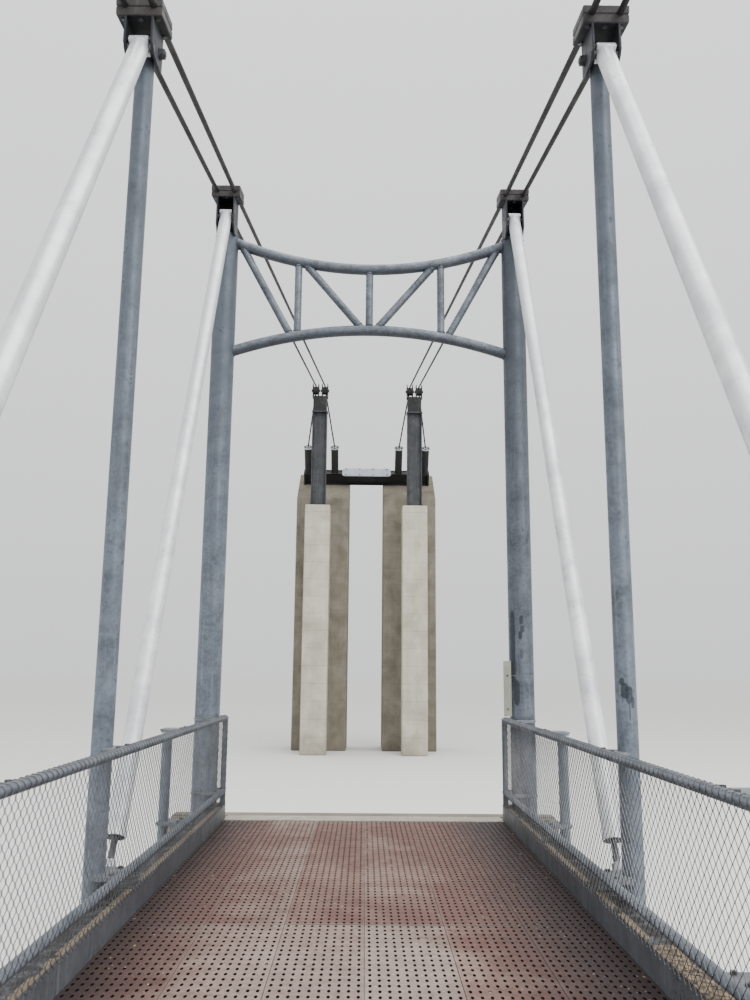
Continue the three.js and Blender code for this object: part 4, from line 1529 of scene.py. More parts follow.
@dataclass(frozen=True)
class MainCables:
    """Four cables from anchor to anchor, over the masts and through every clamp."""

    spread_head: float = real(0.105)
    spread_mast: float = real(0.167)
    disc_gap: float = real(0.0246)
    bend_steps: int = 8
    sides: int = 12

    def half(self, side: int) -> list[Vector]:
        """Route of one cable from the middle of the span to the far anchor, round its own plane.

        Args:
            side: Side of the cable in its pair, -1 or 1.

        Returns:
            Points with X counted from the plane of the hangers and Z from the deck.
        """
        supports = range(LAYOUT.supports, -1, -1)
        points = [Vector((side * self.spread_head, LAYOUT.support_y(i), LAYOUT.joint(i))) for i in supports]
        radius = LAYOUT.saddle_radius + CLEAR + LAYOUT.cable_radius
        mast, saddle = LAYOUT.mast_y, LAYOUT.saddle_height
        disc_y, disc_z = LAYOUT.disc
        run_in = (mast - LAYOUT.span_half, saddle - LAYOUT.portal_joint)
        run_out = (disc_y - mast, disc_z - saddle)
        angle_in = math.atan2(run_in[1], run_in[0]) + math.asin(radius / math.hypot(*run_in))
        angle_out = math.atan2(run_out[1], run_out[0]) - math.asin(radius / math.hypot(*run_out))
        for step in range(self.bend_steps + 1):
            angle = angle_in + (angle_out - angle_in) * step / self.bend_steps
            y, z = mast - radius * math.sin(angle), saddle + radius * math.cos(angle)
            points.append(Vector((side * self.spread_mast, y, z)))
        anchor = Vector((side * LAYOUT.disc_spread, disc_y, disc_z))
        points.append(anchor + (points[-1] - anchor).normalized() * self.disc_gap)
        return points

    def build(self) -> None:
        """Makes the four cables."""
        for hand, line in product(Hand, Line):
            far = self.half(hand.value * line.value)
            near = [Vector((p.x, -p.y, p.z)) for p in reversed(far[1:])]
            shift = Vector((hand.value * LAYOUT.plane_x, 0, LAYOUT.deck_top))
            node = f"main_cable_{hand.word}_{line.word}"
            route = [point + shift for point in near + far]
            cable = tube(f"{node}_strand", route, LAYOUT.cable_radius, self.sides, STRAND)
            show(smooth(cable, 50.0), [node])


@dataclass(frozen=True)
class PortalTrusses:
    """Arched truss of bent and straight pipes between the columns of each portal."""

    top: tuple[float, float] = (real(6.75), real(6.38))
    bottom: tuple[float, float] = (real(5.28), real(5.60))
    chord_radius: float = real(0.0635)
    web_radius: float = real(0.0445)
    post_x: float = real(0.86)
    inset: float = real(0.07)
    steps: int = 32

    def height(self, chord: tuple[float, float], x: float) -> float:
        """Height of a chord's axis over the deck."""
        end, middle = chord
        share = (x / LAYOUT.plane_x) ** 2
        return middle + (end - middle) * share

    def chord(self, chord: tuple[float, float]) -> Object:
        """Bent pipe of a chord, ending inside the columns."""
        reach = LAYOUT.plane_x - LAYOUT.column_radius * 0.6
        xs = [reach * (2 * step / self.steps - 1) for step in range(self.steps + 1)]
        points = [(x, 0, self.height(chord, x)) for x in xs]
        return tube("chord", points, self.chord_radius, 24, TRUSS_STEEL)

    def web(self, x0: float, x1: float) -> list[Object]:
        """Straight pipe from the top chord to the bottom chord, with a weld at each end.

        Args:
            x0: Place across at the top.
            x1: Place across at the bottom.

        Returns:
            The pipe and its welds.
        """
        start = Vector((x0, 0, self.height(self.top, x0)))
        end = Vector((x1, 0, self.height(self.bottom, x1)))
        along = (end - start).normalized()
        bar = pipe(start, end, self.web_radius, 20, wall=0, finish=TRUSS_STEEL)
        lean = along * (self.chord_radius / max(abs(along.z), 0.5))
        ends = (start + lean, end - lean)
        return [bar, *(weld(point, along, self.web_radius, TRUSS_STEEL, real(0.007)) for point in ends)]

    def build(self) -> None:
        """Makes the truss once and copies it to both portals."""
        parts = [self.chord(self.top), self.chord(self.bottom), *self.web(0, 0)]
        for side in BOTH:
            outer = side * (LAYOUT.plane_x - LAYOUT.column_radius * 1.3)
            parts += self.web(side * self.post_x, side * self.post_x)
            parts += self.web(outer, side * (self.post_x + self.inset))
            parts += self.web(side * (self.post_x - self.inset), side * self.inset)
            for chord in (self.top, self.bottom):
                x = side * (LAYOUT.plane_x - LAYOUT.column_radius)
                ring = (x, 0, self.height(chord, x))
                parts.append(weld(ring, ACROSS, self.chord_radius, TRUSS_STEEL, real(0.008)))
        model = smooth(join("truss", parts))
        for end in End:
            node = f"portal_truss_{end.word}"
            place = Matrix.Translation((0, end.value * LAYOUT.span_half, LAYOUT.deck_top))
            show(copy_to(model, f"{node}_pipes", place), [node])
        discard(model)


@dataclass(frozen=True)
class Deck:
    """Punched steel planks, six across each bay, with rows of slots, and the dirt in some slots."""

    planks: int = 6
    plank_width: float = real(0.508)
    columns: int = 10
    rows: int = 48
    pitch_x: float = real(0.0499)
    slot_width: float = real(0.0175)
    slot_length: float = real(0.041)
    sheet: float = real(0.022)
    flange: float = real(0.045)
    seam: float = real(0.0025)
    filled_share: float = 0.02
    filled_columns: float = 0.45

    @property
    def pitch_y(self) -> float:
        """Spacing of the rows of slots along the deck."""
        return LAYOUT.bay / self.rows

    def loop(self, sides: int, width: float, length: float, z: float) -> Object:
        """Open ring of edges: a rounded slot with 8 sides or a rectangle with 4.

        Args:
            sides: Number of sides.
            width: Size in X.
            length: Size in Y.
            z: Height of the ring.

        Returns:
            The ring, without a face.
        """
        ring = primitive(bpy.ops.mesh.primitive_circle_add, vertices=sides, radius=1, location=(0, 0, z))
        reach = math.cos(math.pi / sides)
        with editing(ring, "VERT", whole=True):
            bpy.ops.transform.rotate(value=math.pi / sides, orient_axis="Z", center_override=(0, 0, z))
            bpy.ops.transform.resize(value=(width / 2 / reach, length / 2 / reach, 1))
        return ring

    def cell(self) -> Object:
        """One slot with the sheet round it: round ended on top and square underneath.

        Returns:
            The cell, centred on the slot.
        """
        width, length = self.slot_width * 0.9, self.slot_length * 0.9
        rim = self.loop(4, self.pitch_x, self.pitch_y, 0.0)
        slot = self.loop(8, self.slot_width, self.slot_length, 0.0)
        cell = join("cell", [self.loop(4, width, length, -self.sheet), slot, rim])
        with editing(cell, "EDGE"):
            pick_edges(cell, lambda a, b: min(a.z, b.z) > -CLEAR)
            bpy.ops.mesh.bridge_edge_loops()
            pick_edges(cell, lambda a, b: max(abs(a.x), abs(b.x)) < self.slot_width)
            bpy.ops.mesh.bridge_edge_loops()
            pick_edges(cell, lambda a, b: max(a.z, b.z) < CLEAR - self.sheet)
            bpy.ops.mesh.extrude_edges_move()
            bpy.ops.transform.resize(
                value=(self.pitch_x / width, self.pitch_y / length, 1), center_override=(0, 0, -self.sheet))
        return cell

    def plank(self) -> Object:
        """One plank, as long as a bay, centred on the origin with its top at height 0.

        Returns:
            The plank.
        """
        thing = self.cell()
        repeat(thing, self.columns, (self.pitch_x, 0, 0), merge=True)
        repeat(thing, self.rows, (0, self.pitch_y, 0), merge=True)
        across = self.pitch_x * (self.columns - 1) / 2
        along = self.pitch_y * (self.rows - 1) / 2
        thing.data.transform(Matrix.Translation((-across, -along, 0)))
        rim_x, rim_y = self.pitch_x * self.columns / 2, self.pitch_y * self.rows / 2
        half_x, half_y = self.plank_width / 2 - self.seam / 2, LAYOUT.bay / 2 - self.seam / 2
        for vertex in thing.data.vertices:
            if abs(vertex.co.x) > rim_x - CLEAR:
                vertex.co.x = math.copysign(half_x, vertex.co.x)
            if abs(vertex.co.y) > rim_y - CLEAR:
                vertex.co.y = math.copysign(half_y, vertex.co.y)

        def long_rim(a: Vector, b: Vector) -> bool:
            """True on the long top edges of the plank."""
            return min(a.z, b.z) > -CLEAR and min(abs(a.x), abs(b.x)) > half_x - CLEAR

        def rim(a: Vector, b: Vector) -> bool:
            """True on all four top edges of the plank."""
            return long_rim(a, b) or min(a.z, b.z) > -CLEAR and min(abs(a.y), abs(b.y)) > half_y - CLEAR

        with editing(thing, "EDGE"):
            pick_edges(thing, rim)
            bpy.ops.mesh.extrude_edges_move(TRANSFORM_OT_translate={"value": (0, 0, -self.sheet)})
            face_outwards(merge=MERGE)
            pick_edges(thing, long_rim)
            bpy.ops.mesh.bevel(offset=real(0.003), segments=1, affect="EDGES")
        parts = [thing]
        for side in BOTH:
            x0, x1 = sorted((side * half_x, side * (half_x - real(0.004))))
            parts.append(block((x0, -half_y, -self.flange), (x1, half_y, -self.sheet)))
        return join("plank", parts)

    def grit(self) -> Object:
        """Dirt that fills some of the slots, nearly flush with the top.

        Returns:
            The plugs as one object.
        """
        model = primitive(bpy.ops.mesh.primitive_circle_add, vertices=6, radius=1, fill_type="NGON")
        with editing(model, "VERT", whole=True):
            bpy.ops.transform.resize(value=(self.slot_width * 0.49, self.slot_length * 0.49, 1))
            extrude((0, 0, -self.sheet * 0.5))
            face_outwards()
        coat(model, LITTER)
        chance = random.Random(11)
        plugs = []
        for bay, plank in product(range(LAYOUT.bays), range(self.planks)):
            clogged = {chance.randrange(self.columns) for _ in range(2)} if chance.random() < 0.5 else set()
            reach = sorted((chance.random(), chance.random()))
            x, y = self.plank_place(bay, plank)
            for column, row in product(range(self.columns), range(self.rows)):
                near = column in clogged and reach[0] < row / self.rows < reach[1]
                if chance.random() < (self.filled_columns if near else self.filled_share):
                    slot_x = x + (column - (self.columns - 1) / 2) * self.pitch_x
                    slot_y = y + (row - (self.rows - 1) / 2) * self.pitch_y
                    level = LAYOUT.deck_top - self.sheet * chance.uniform(0.1, 0.5)
                    plugs.append(copy_to(model, "plug", Matrix.Translation((slot_x, slot_y, level))))
        discard(model)
        return join("deck_slot_dirt", plugs)

    def plank_place(self, bay: int, plank: int) -> tuple[float, float]:
        """Middle of a plank, counted from the near end and from the left."""
        return (plank - (self.planks - 1) / 2) * self.plank_width, (bay - (LAYOUT.bays - 1) / 2) * LAYOUT.bay

    def build(self) -> None:
        """Lays the planks bay by bay, each a hair higher or lower than its neighbour."""
        model = coat(self.plank(), PUNCHED)
        chance = random.Random(5)
        for bay in range(LAYOUT.bays):
            planks = []
            for plank in range(self.planks):
                level = LAYOUT.deck_top - chance.uniform(0.0, real(0.002))
                place = Matrix.Translation((*self.plank_place(bay, plank), level))
                planks.append(copy_to(model, "plank", place))
            show(join(f"deck_planks_{bay + 1}", planks), ["deck"])
        discard(model)
        show(self.grit())


@dataclass(frozen=True)
class RailMesh:
    """Woven wire fabric on the inner side of the rails, wrapped over the top rail."""

    diamonds: int = 55
    wire: float = real(0.0021)
    plane_x: float = real(1.5075)
    bottom: float = real(0.156)
    overlap: float = real(0.0032)
    wrap_steps: int = 3
    wrap_angle: float = math.radians(150)
    end_hook: float = real(0.012)

    @property
    def pitch(self) -> float:
        """Width of one diamond."""
        return LAYOUT.bay / self.diamonds

    def strand(self, mirrored: bool) -> Object:
        """One zigzag wire with a three-sided section, drawn at the right rail and round Y = 0.

        Args:
            mirrored: True for the second wire of a pair, which starts the other way.

        Returns:
            The wire.
        """
        sign = -1 if mirrored else 1
        half = self.pitch / 2
        rise = LAYOUT.top_rail - self.bottom
        steps = round(rise / half)
        step_z = rise / steps
        reach = sign * (half / 2 + self.overlap)
        depth = self.wire * 1.05 * sign
        foot = (self.plane_x + depth, reach + sign * self.end_hook, LAYOUT.deck_top + self.bottom)
        wire = primitive(bpy.ops.mesh.primitive_circle_add, vertices=3, radius=self.wire * 1.15,
                         fill_type="NGON", location=foot)
        centre = (LAYOUT.rail_x, 0, LAYOUT.deck_top + LAYOUT.top_rail)
        with editing(wire, whole=True):
            side = 1
            extrude((-2 * depth, -2 * reach - sign * self.end_hook, step_z))
            for _ in range(steps - 1):
                extrude((2 * depth * side, 2 * reach * side, step_z))
                side = -side
            turn = self.wrap_angle / self.wrap_steps
            for step in range(self.wrap_steps):
                extrude((0, reach * side, 0))
                bpy.ops.transform.rotate(value=-turn, orient_axis="Y", center_override=centre)
                if step % 2:
                    side = -side
            face_outwards()
        return wire

    def build(self) -> None:
        """Makes a pair of wires, repeats it along the rail, and mirrors the fabric for the other side."""
        first = self.strand(False)
        second = self.strand(True)
        second.data.transform(Matrix.Translation((0, self.pitch / 2, 0)))
        pair = join("pair", [first, second])
        count = self.diamonds * LAYOUT.bays
        start = -self.pitch * (count / 2 - 0.25)
        pair.data.transform(Matrix.Translation((0, start, 0)))
        repeat(pair, count, (0, self.pitch, 0))
        coat(pair, WIRE_STEEL)
        for hand in Hand:
            node = f"rail_mesh_{hand.word}"
            show(smooth(copy_to(pair, f"{node}_wires", hand.turn), 80.0), [node])
        discard(pair)


@dataclass(frozen=True)
class Railings:
    """Two pipe rails a side, bent down at the ends, with mid-bay posts and plates to the hangers."""

    post_radius: float = real(0.0445)
    post_top: float = real(1.05)
    post_foot: float = real(-0.05)
    post_plate_size: tuple[float, float, float] = (real(0.16), real(0.095), real(0.012))
    bend: float = real(0.035)
    post_plate: tuple[float, float] = (real(0.11), real(1.785))
    hanger_plate: tuple[float, float] = (real(0.15), real(1.71))
    portal_plate: tuple[float, float] = (real(0.17), real(1.86))
    plate_thick: float = real(0.016)
    plate_lip: float = real(0.03)
    sleeve: float = real(0.12)

    def top_rail(self) -> Object:
        """Top rail with a bend and an end post at both ends."""
        radius = LAYOUT.rail_radius
        end = LAYOUT.deck_half_length - radius
        corner = end - self.bend
        height = LAYOUT.top_rail - self.bend
        arc = [math.radians(angle) for angle in range(0, 91, 15)]
        bend = [(0, corner + self.bend * math.cos(a), height + self.bend * math.sin(a)) for a in arc]
        half = [(0, end, LAYOUT.toe_height + CLEAR), *bend]
        route = half + [(x, -y, z) for x, y, z in reversed(half)]
        return tube("top_rail", route, radius, 20, HAND_RAIL_STEEL)

    def plate(self, size: tuple[float, float], upright: float) -> Object:
        """Tie plate from a rail to an upright, with lips along its two ends and bolts near the rail.

        Args:
            size: Half its length along the rail, and its outer edge from the middle of the deck.
            upright: Radius of the upright that it is cut out for, or 0 where it isn't cut.

        Returns:
            The plate, drawn round the upright's height with the rail on X = 0.
        """
        half_length, outer = size[0], size[1] - LAYOUT.rail_x
        inner = -LAYOUT.rail_radius * 0.4
        half = self.plate_thick / 2
        sheet = block((inner, -half_length, -half), (outer, half_length, half))
        with editing(sheet, "EDGE"):
            pick_edges(sheet, lambda a, b: abs(a.z - b.z) > half and min(a.x, b.x) > outer - CLEAR)
            bpy.ops.mesh.bevel(offset=real(0.012), segments=2, affect="EDGES")
        arm = LAYOUT.plane_x - LAYOUT.rail_x
        if upright:
            cutter = pipe((arm, 0, -upright), (arm, 0, upright), upright + CLEAR, 32, wall=0)
            select_only(sheet)
            cut = sheet.modifiers.new("cut out", "BOOLEAN")
            cut.operation = "DIFFERENCE"
            cut.object = cutter
            bpy.ops.object.modifier_apply(modifier=cut.name)
            discard(cutter)
        parts = [coat(soften(sheet, real(0.0015)), GALVANISED_PLATE)]
        lip_start = LAYOUT.rail_radius * 1.05
        for side in BOTH:
            y0, y1 = sorted((side * (half_length - real(0.006)), side * half_length))
            high = (outer - real(0.012), y1, -half + CLEAR)
            parts.append(block((lip_start, y0, half - self.plate_lip), high, real(0.001), GALVANISED_PLATE))
            place = (lip_start + real(0.03), side * half_length * 0.72, half + real(0.007))
            parts.append(hexagon(place, UP, real(0.03), real(0.014), FIXING))
        return join("plate", parts)

    def side(self) -> Object:
        """One railing, drawn with its rails on X = 0 and its posts towards +X.

        Returns:
            The railing as one object.
        """
        end, lower = LAYOUT.deck_half_length, LAYOUT.lower_rail
        at_post = self.plate(self.post_plate, 0)
        at_hanger = self.plate(self.hanger_plate, LAYOUT.hanger_radius)
        at_portal = self.plate(self.portal_plate, LAYOUT.column_radius)
        ends = ((0, -end, lower), (0, end, lower))
        parts = [self.top_rail(), pipe(*ends, LAYOUT.rail_radius, 20, INWARDS, finish=LOWER_RAIL_STEEL)]
        arm = LAYOUT.plane_x - LAYOUT.rail_x
        for place in range(LAYOUT.bays * 2 + 1):
            y = (place / 2 - LAYOUT.supports) * LAYOUT.bay
            if place % 2:
                plate = at_post
                parts += self.post(arm, y)
            else:
                plate = at_portal if place in (0, LAYOUT.bays * 2) else at_hanger
            for z in (LAYOUT.top_rail, lower):
                parts.append(copy_to(plate, "plate", Matrix.Translation((0, y, z))))
                if place % 4 == 3:
                    parts.append(self.joint(y + LAYOUT.bay * 0.2, z))
        discard(at_post, at_hanger, at_portal)
        return smooth(join("railing", parts))

    def post(self, x: float, y: float) -> list[Object]:
        """Mid-bay post with a domed cap and a foot plate.

        Args:
            x: Place across.
            y: Place along the bridge.

        Returns:
            The post's parts.
        """
        radius, plate = self.post_radius, self.post_plate_size
        neck = (x, y, self.post_top - real(0.012))
        body = pipe((x, y, self.post_foot), neck, radius, 24, finish=GALVANISED)
        cap = primitive(bpy.ops.mesh.primitive_uv_sphere_add, segments=24, ring_count=8, radius=radius * 1.04,
                        location=neck)
        with editing(cap, "VERT", whole=True):
            cut = (x, y, self.post_top - real(0.02))
            bpy.ops.mesh.bisect(plane_co=cut, plane_no=UP, clear_inner=True, use_fill=True)
            bpy.ops.mesh.select_all(action="SELECT")
            bpy.ops.transform.resize(value=(1, 1, 0.3), center_override=cut)
        coat(cap, GALVANISED_PLATE)
        foot = centred((x, y, self.post_foot + plate[2] / 2), plate, real(0.002), GALVANISED_PLATE)
        ring = weld((x, y, self.post_foot + plate[2]), UP, radius, GALVANISED)
        return [body, cap, foot, ring]

    def joint(self, y: float, z: float) -> Object:
        """Sleeve over a butt joint of a rail."""
        ends = ((0, y - self.sleeve / 2, z), (0, y + self.sleeve / 2, z))
        return pipe(*ends, LAYOUT.rail_radius * 1.07, 20, INWARDS, finish=GALVANISED)

    def build(self) -> None:
        """Makes one railing and places it on both sides."""
        model = self.side()
        for hand in Hand:
            node = f"railing_{hand.word}"
            place = Matrix.Translation((hand.value * LAYOUT.rail_x, 0, LAYOUT.deck_top))
            show(copy_to(model, f"{node}_pipes", place @ hand.turn), [node])
        discard(model)


@dataclass(frozen=True)
class DeckEdges:
    """Steel frame under the deck with its toe plates, the dirt on their flanges, and the threshold plates."""

    narrow: tuple[float, float] = (real(1.527), real(1.57))
    wide: tuple[float, float] = (real(1.527), real(1.648))
    wide_end: float = real(7.1)
    strip_cell: float = real(0.1)
    strip_thick: float = real(0.014)
    threshold_bolts: int = 6
    splice_bolts: tuple[float, ...] = (real(-0.14), real(-0.05), real(0.05), real(0.14))
    splice_rows: tuple[float, ...] = (real(-0.15), real(-0.04), real(0.07))

    def frame_piece(self) -> None:
        """Frame with rounded edges, splice plates and bolts on the toe plates' outer faces."""
        parts = [refined("deck_frame", "deck_frame_steel", real(0.002), FRAME_STEEL)]
        face, top = LAYOUT.deck_half_width + real(0.012), LAYOUT.deck_top
        for hand, bay in product(Hand, range(1, LAYOUT.bays)):
            y = (bay - LAYOUT.supports) * LAYOUT.bay + real(0.55)
            x0, x1 = sorted((hand.value * face, hand.value * (face + real(0.01))))
            low, high = (x0, y - real(0.2), top - real(0.2)), (x1, y + real(0.2), top + real(0.12))
            parts.append(block(low, high, real(0.002), FRAME_STEEL))
            for along, up in product(self.splice_bolts, self.splice_rows):
                place = (hand.value * (face + real(0.016)), y + along, top + up)
                parts.append(hexagon(place, ACROSS, real(0.03), real(0.014), FIXING))
        show(smooth(join("deck_frame_steel", parts), 30.0), ["deck_frame"])

    def dirt(self, name: str, hand: Hand, width: tuple[float, float], run: tuple[float, float],
             finish: Litter) -> None:
        """Crumbly strip of dirt along a top flange, thin where the wind clears it.

        Args:
            name: Name of the strip.
            hand: Side of the bridge.
            width: Inner and outer edge, from the middle of the deck.
            run: Its two ends along the bridge.
            finish: What has gathered there.
        """
        low, high = width
        length = run[1] - run[0]
        place = (hand.value * (low + high) / 2, sum(run) / 2, LAYOUT.deck_top + LAYOUT.toe_height)
        strip = primitive(bpy.ops.mesh.primitive_grid_add, x_subdivisions=4,
                          y_subdivisions=round(length / self.strip_cell), size=1)
        strip.data.transform(Matrix.LocRotScale(place, None, (high - low, length, 1)))
        clouds = bpy.data.textures.new("dirt heaps", "CLOUDS")
        clouds.noise_scale = real(0.09)
        heap = strip.modifiers.new("heaps", "DISPLACE")
        heap.texture = clouds
        heap.texture_coords = "GLOBAL"
        heap.strength = self.strip_thick
        heap.mid_level = 0.35
        select_only(strip)
        bpy.ops.object.modifier_apply(modifier=heap.name)
        with editing(strip, "EDGE"):
            bpy.ops.mesh.select_non_manifold()
            extrude((0, 0, -self.strip_thick * 0.6))
            bpy.ops.mesh.edge_face_add()
            face_outwards()
        strip.name = name
        show(smooth(coat(strip, finish), 60.0))

    def threshold(self, end: End) -> None:
        """Pale strip at an end of the deck with countersunk screws.

        Args:
            end: End of the bridge.
        """
        node = f"threshold_plate_{end.word}"
        parts = [refined(node, f"{node}_steel", real(0.002), THRESHOLD_STEEL)]
        low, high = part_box(node)
        for k in range(self.threshold_bolts):
            x = (k / (self.threshold_bolts - 1) - 0.5) * (high.x - low.x - real(0.16))
            place = Vector((x, (low.y + high.y) / 2, high.z - real(0.003)))
            up = Vector((0, 0, real(0.0025)))
            parts.append(pipe(place - up, place + up, real(0.014), 12, wall=0.3, finish=FIXING))
        show(smooth(join(f"{node}_steel", parts)), [node])

    def build(self) -> None:
        """Makes the frame, the dirt strips and the threshold plates."""
        self.frame_piece()
        end = LAYOUT.deck_half_length - real(0.25)
        self.dirt("flange_dirt_left", Hand.LEFT, self.narrow, (-end, end), LITTER)
        self.dirt("flange_dirt_right", Hand.RIGHT, self.wide, (-end, self.wide_end), LEAVES)
        self.dirt("flange_dirt_far", Hand.RIGHT, self.narrow, (self.wide_end + real(0.1), end), LITTER)
        for end in End:
            self.threshold(end)


@dataclass(frozen=True)
class Masts:
    """Steel masts with their head boxes, ears and saddles, and the concrete piers under them."""

    base: float = real(7.45)
    width: float = real(0.54)
    depth: float = real(0.32)
    ears: tuple[float, float] = (real(0.065), real(0.27))
    head: float = real(11.0)

    def fittings(self) -> Object:
        """Anchor bolts, saddle flanges and saddle pins, drawn round a mast's axis.

        Returns:
            The fittings as one object.
        """
        steel, level = SHADED_MAST_HEAD_STEEL, LAYOUT.saddle_height
        parts = []
        for x, y in product(BOTH, BOTH):
            place = (x * self.width * 0.5, y * self.depth * 0.59, self.base + real(0.05))
            parts += anchor_bolt(place, real(0.014), real(0.045), real(0.028), real(0.055), real(0.014))
        for side in BOTH:
            for ear, away in zip(self.ears, BOTH):
                out = side * away
                face = side * ear + out * real(0.015)
                rim = (face + out * real(0.02), 0, level)
                parts.append(pipe((face, 0, level), rim, real(0.07), 20, finish=steel))
                nut = (face + out * real(0.03), 0, level)
                parts.append(hexagon(nut, ACROSS, real(0.07), real(0.026), FIXING))
            low, high = (side * ear for ear in self.ears)
            for x in (low + side * real(0.022), high - side * real(0.022)):
                rims = ((x - real(0.006), 0, level), (x + real(0.006), 0, level))
                parts.append(pipe(*rims, LAYOUT.saddle_radius * 1.14, 28, finish=steel))
        return smooth(join("mast_fittings", parts))

    def build(self) -> None:
        """Dresses every mast and pier."""
        model = self.fittings()
        for end, hand in product(End, Hand):
            node = f"mast_{end.word}_{hand.word}"
            body = refined(node, f"{node}_steel", real(0.003), MAST_STEEL, SHADED_MAST_HEAD_STEEL)
            # Faces above the foot of the head take the head steel, darkened as painted shade.
            for face in body.data.polygons:
                face.material_index = int(face.center.z > LAYOUT.deck_top + self.head)
            foot = (hand.value * LAYOUT.plane_x, end.value * LAYOUT.mast_y, LAYOUT.deck_top)
            extras = copy_to(model, "extras", Matrix.Translation(foot))
            show(smooth(join(f"{node}_steel", [extras, body]), 30.0), [node])
            dress(f"mast_pier_{end.word}_{hand.word}", "concrete", real(0.025), PALE_CONCRETE)
        discard(model)


@dataclass(frozen=True)
class Anchors:
    """Anchor frames with their tubes and pale discs, on sloping concrete blocks."""

    tilt: float = math.radians(37.4)
    disc_radius: float = real(0.172)
    reach: float = real(1.05)
    bearing: tuple[float, float, float] = (real(1.88), real(0.66), real(0.034))

    def disc_place(self, x: float) -> Matrix:
        """Place of a disc at the far end, with +Z along its tube towards the mast."""
        shift = Matrix.Translation((x, LAYOUT.disc[0], LAYOUT.deck_top + LAYOUT.disc[1]))
        return shift @ Matrix.Rotation(self.tilt, 4, "X")

    def disc_model(self) -> Object:
        """Pale disc with a raised boss, the cable's socket and six bolts."""
        half, ring, count = real(0.024), real(0.115), 6
        boss = (0, 0, half + real(0.012))
        parts = [pipe((0, 0, -half), (0, 0, half), self.disc_radius, 36, wall=0.08, finish=PALE_STEEL)]
        parts.append(pipe((0, 0, half * 0.8), boss, real(0.075), 24, wall=0.2, finish=PALE_STEEL))
        for step in range(count):
            angle = math.tau * step / count
            place = (math.cos(angle) * ring, math.sin(angle) * ring, half + real(0.005))
            parts.append(hexagon(place, UP, real(0.03), real(0.014), ZINC))
        return smooth(join("disc", parts))

    def bearing_plate(self) -> Object:
        """Pale plate with round corners on the middle of the beam, drawn like a disc."""
        width, length, thick = self.bearing
        plate = centred((0, 0, -self.reach + thick / 2 + real(0.002)), (width, length, thick))
        with editing(plate, "EDGE"):
            pick_edges(plate, lambda a, b: abs(a.z - b.z) > thick / 2)
            bpy.ops.mesh.bevel(offset=real(0.12), segments=5, affect="EDGES")
        parts = [coat(soften(plate, real(0.003)), BEARING_STEEL)]
        for x, y in product((-0.42, -0.14, 0.14, 0.42), (-0.4, 0.4)):
            place = (x * width, y * length, -self.reach + thick + real(0.014))
            parts.append(hexagon(place, UP, real(0.05), real(0.026), FIXING))
        return smooth(join("bearing_plate", parts))

    def build(self) -> None:
        """Dresses the anchor frames and their blocks at both ends."""
        model = self.disc_model()
        plate = self.bearing_plate()
        for end in End:
            node = f"anchor_frame_{end.word}"
            dress(node, "steel", real(0.003), BLACK_STEEL)
            place = end.turn @ self.disc_place(0.0)
            show(copy_to(plate, f"bearing_plate_{end.word}", place), [node])
            for hand in Hand:
                side = f"{end.word}_{hand.word}"
                for line in Line:
                    x = hand.value * (LAYOUT.plane_x + line.value * LAYOUT.disc_spread)
                    place = end.turn @ self.disc_place(x * end.value)
                    show(copy_to(model, f"anchor_disc_{side}_{line.word}", place))
                dress(f"anchor_block_{side}", "concrete", real(0.03), CONCRETE)
        discard(model, plate)


@dataclass(frozen=True)
class Abutments:
    """Concrete ends of the walkway with chamfered edges."""

    chamfer: float = real(0.02)

    def build(self) -> None:
        """Dresses both abutments."""
        for end in End:
            dress(f"abutment_{end.word}", "concrete", self.chamfer, CONCRETE)


@dataclass(frozen=True)
class BarePanel:
    """Small bare panel on one portal column, with two straps round the column."""

    strap: float = real(0.012)
    strap_insets: tuple[float, float] = (real(0.08), real(0.16))

    def build(self) -> None:
        """Makes the panel with its rim, screws and straps."""
        low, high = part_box("sign_plate")
        sheet = block(low, high)
        with editing(sheet):
            pick_faces(sheet, lambda normal: abs(normal.y) > FACE_ON)
            sink_rim(real(0.006), -real(0.0015))
        parts = [coat(soften(sheet, real(0.0008)), PANEL)]
        ring = LAYOUT.column_radius + real(0.002)
        half = Vector((0, 0, self.strap / 2))
        for z in (low.z + self.strap_insets[0], high.z - self.strap_insets[1]):
            screw = ((low.x + high.x) / 2, low.y - real(0.002), z)
            parts.append(hexagon(screw, (0, 1, 0), real(0.018), real(0.008), FIXING))
            centre = Vector((LAYOUT.plane_x, LAYOUT.span_half, z))
            parts.append(pipe(centre - half, centre + half, ring, 40, wall=0, finish=GALVANISED_PLATE))
        show(smooth(join("bare_panel", parts)), ["sign_plate"])


# Studio

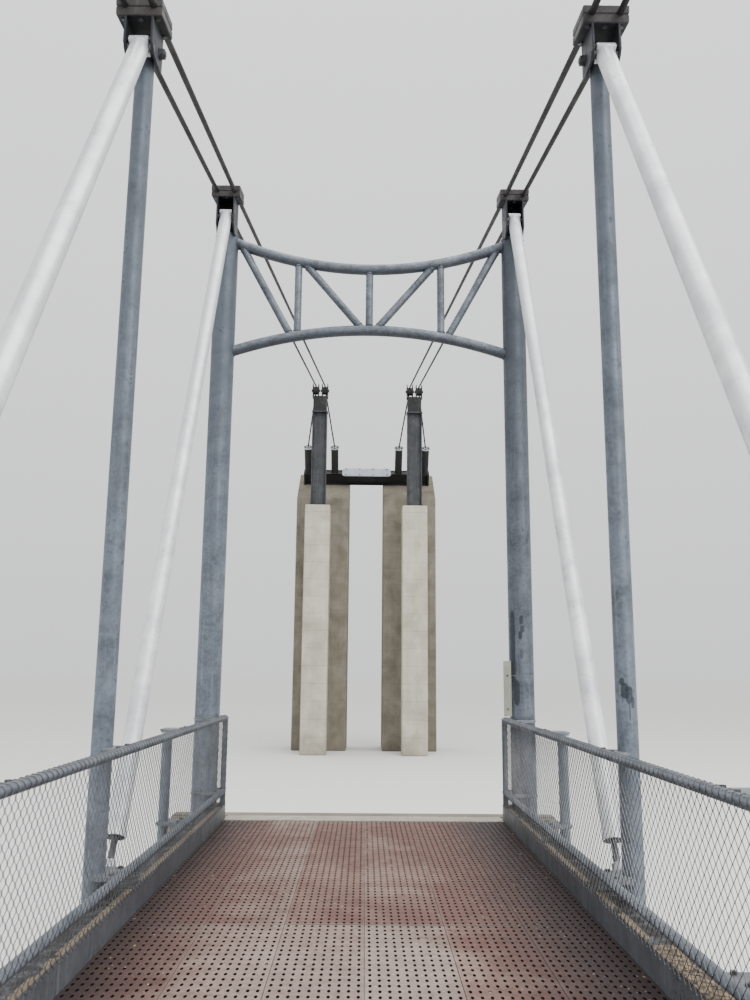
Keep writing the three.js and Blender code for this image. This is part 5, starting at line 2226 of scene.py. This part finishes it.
@dataclass(frozen=True)
class Studio:
    """Pale floor, soft light and the camera."""

    eye: tuple[float, float, float] = (-0.009, 0.9775, 1.391)
    pitch: float = math.radians(10.837)
    yaw: float = math.radians(0.594)
    roll: float = math.radians(0.491)
    lens: float = 32.41
    floor_size: float = 400.0

    def camera(self) -> None:
        """Camera on the walkway, looking up at the far portal."""
        lens = bpy.data.cameras.new("camera")
        lens.lens = self.lens
        lens.sensor_width = 36.0
        lens.clip_start = 0.02
        lens.clip_end = 1000.0
        eye = bpy.data.objects.new("camera", lens)
        bpy.context.scene.collection.objects.link(eye)
        turn = Matrix.Rotation(-self.yaw, 4, "Z") @ Matrix.Rotation(math.pi / 2 + self.pitch, 4, "X")
        eye.matrix_world = Matrix.Translation(self.eye) @ turn @ Matrix.Rotation(self.roll, 4, "Z")
        bpy.context.scene.camera = eye

    def floor(self) -> None:
        """Pale floor under the model."""
        ground = primitive(bpy.ops.mesh.primitive_plane_add, size=self.floor_size)
        ground.name = "floor"
        material = bpy.data.materials.new("pale floor")
        material.use_nodes = True
        shader = material.node_tree.nodes["Principled BSDF"]
        shader.inputs["Base Color"].default_value = paint((216, 215, 212))
        shader.inputs["Roughness"].default_value = 0.9
        ground.data.materials.append(material)

    def sky(self) -> None:
        """World that is bright overhead and softer towards the horizon."""
        world = bpy.data.worlds.new("studio")
        world.use_nodes = True
        bpy.context.scene.world = world
        tree = Tree(world.node_tree)
        height = tree.parts(tree.add("TexCoord").outputs["Generated"])[2]
        colour = tree.blend(tree.band(height, 0.0, 0.8), (206, 207, 209), (248, 249, 250))
        tree.feed(world.node_tree.nodes["Background"], {"Color": colour, "Strength": 1.65})

    def lamps(self) -> None:
        """Large soft lamps overhead and behind the camera."""
        for name, place, size, power in (
            ("overhead", (3.0, 4.0, 16.0), 14.0, 2600.0),
            ("from behind", (9.0, -10.0, 9.0), 9.0, 1800.0),
        ):
            data = bpy.data.lights.new(name, "AREA")
            data.size = size
            data.energy = power
            lamp = bpy.data.objects.new(name, data)
            lamp.location = place
            lamp.rotation_euler = (Vector((0, 3, 1.5)) - Vector(place)).to_track_quat("-Z", "Y").to_euler()
            bpy.context.scene.collection.objects.link(lamp)

    def build(self) -> None:
        """Sets up camera, floor and light."""
        self.camera()
        self.floor()
        self.sky()
        self.lamps()


def main() -> None:
    """Builds the studio and the bridge's sub-assemblies in order."""
    logging.basicConfig(level=logging.INFO, format="%(message)s")
    steps = (
        Studio(), Supports(), MainCables(), PortalTrusses(), Deck(), DeckEdges(), Railings(), RailMesh(),
        Masts(), Anchors(), Abutments(), BarePanel(),
    )
    for step in steps:
        log.info("building %s", type(step).__name__)
        step.build()


if __name__ == "__main__":
    main()
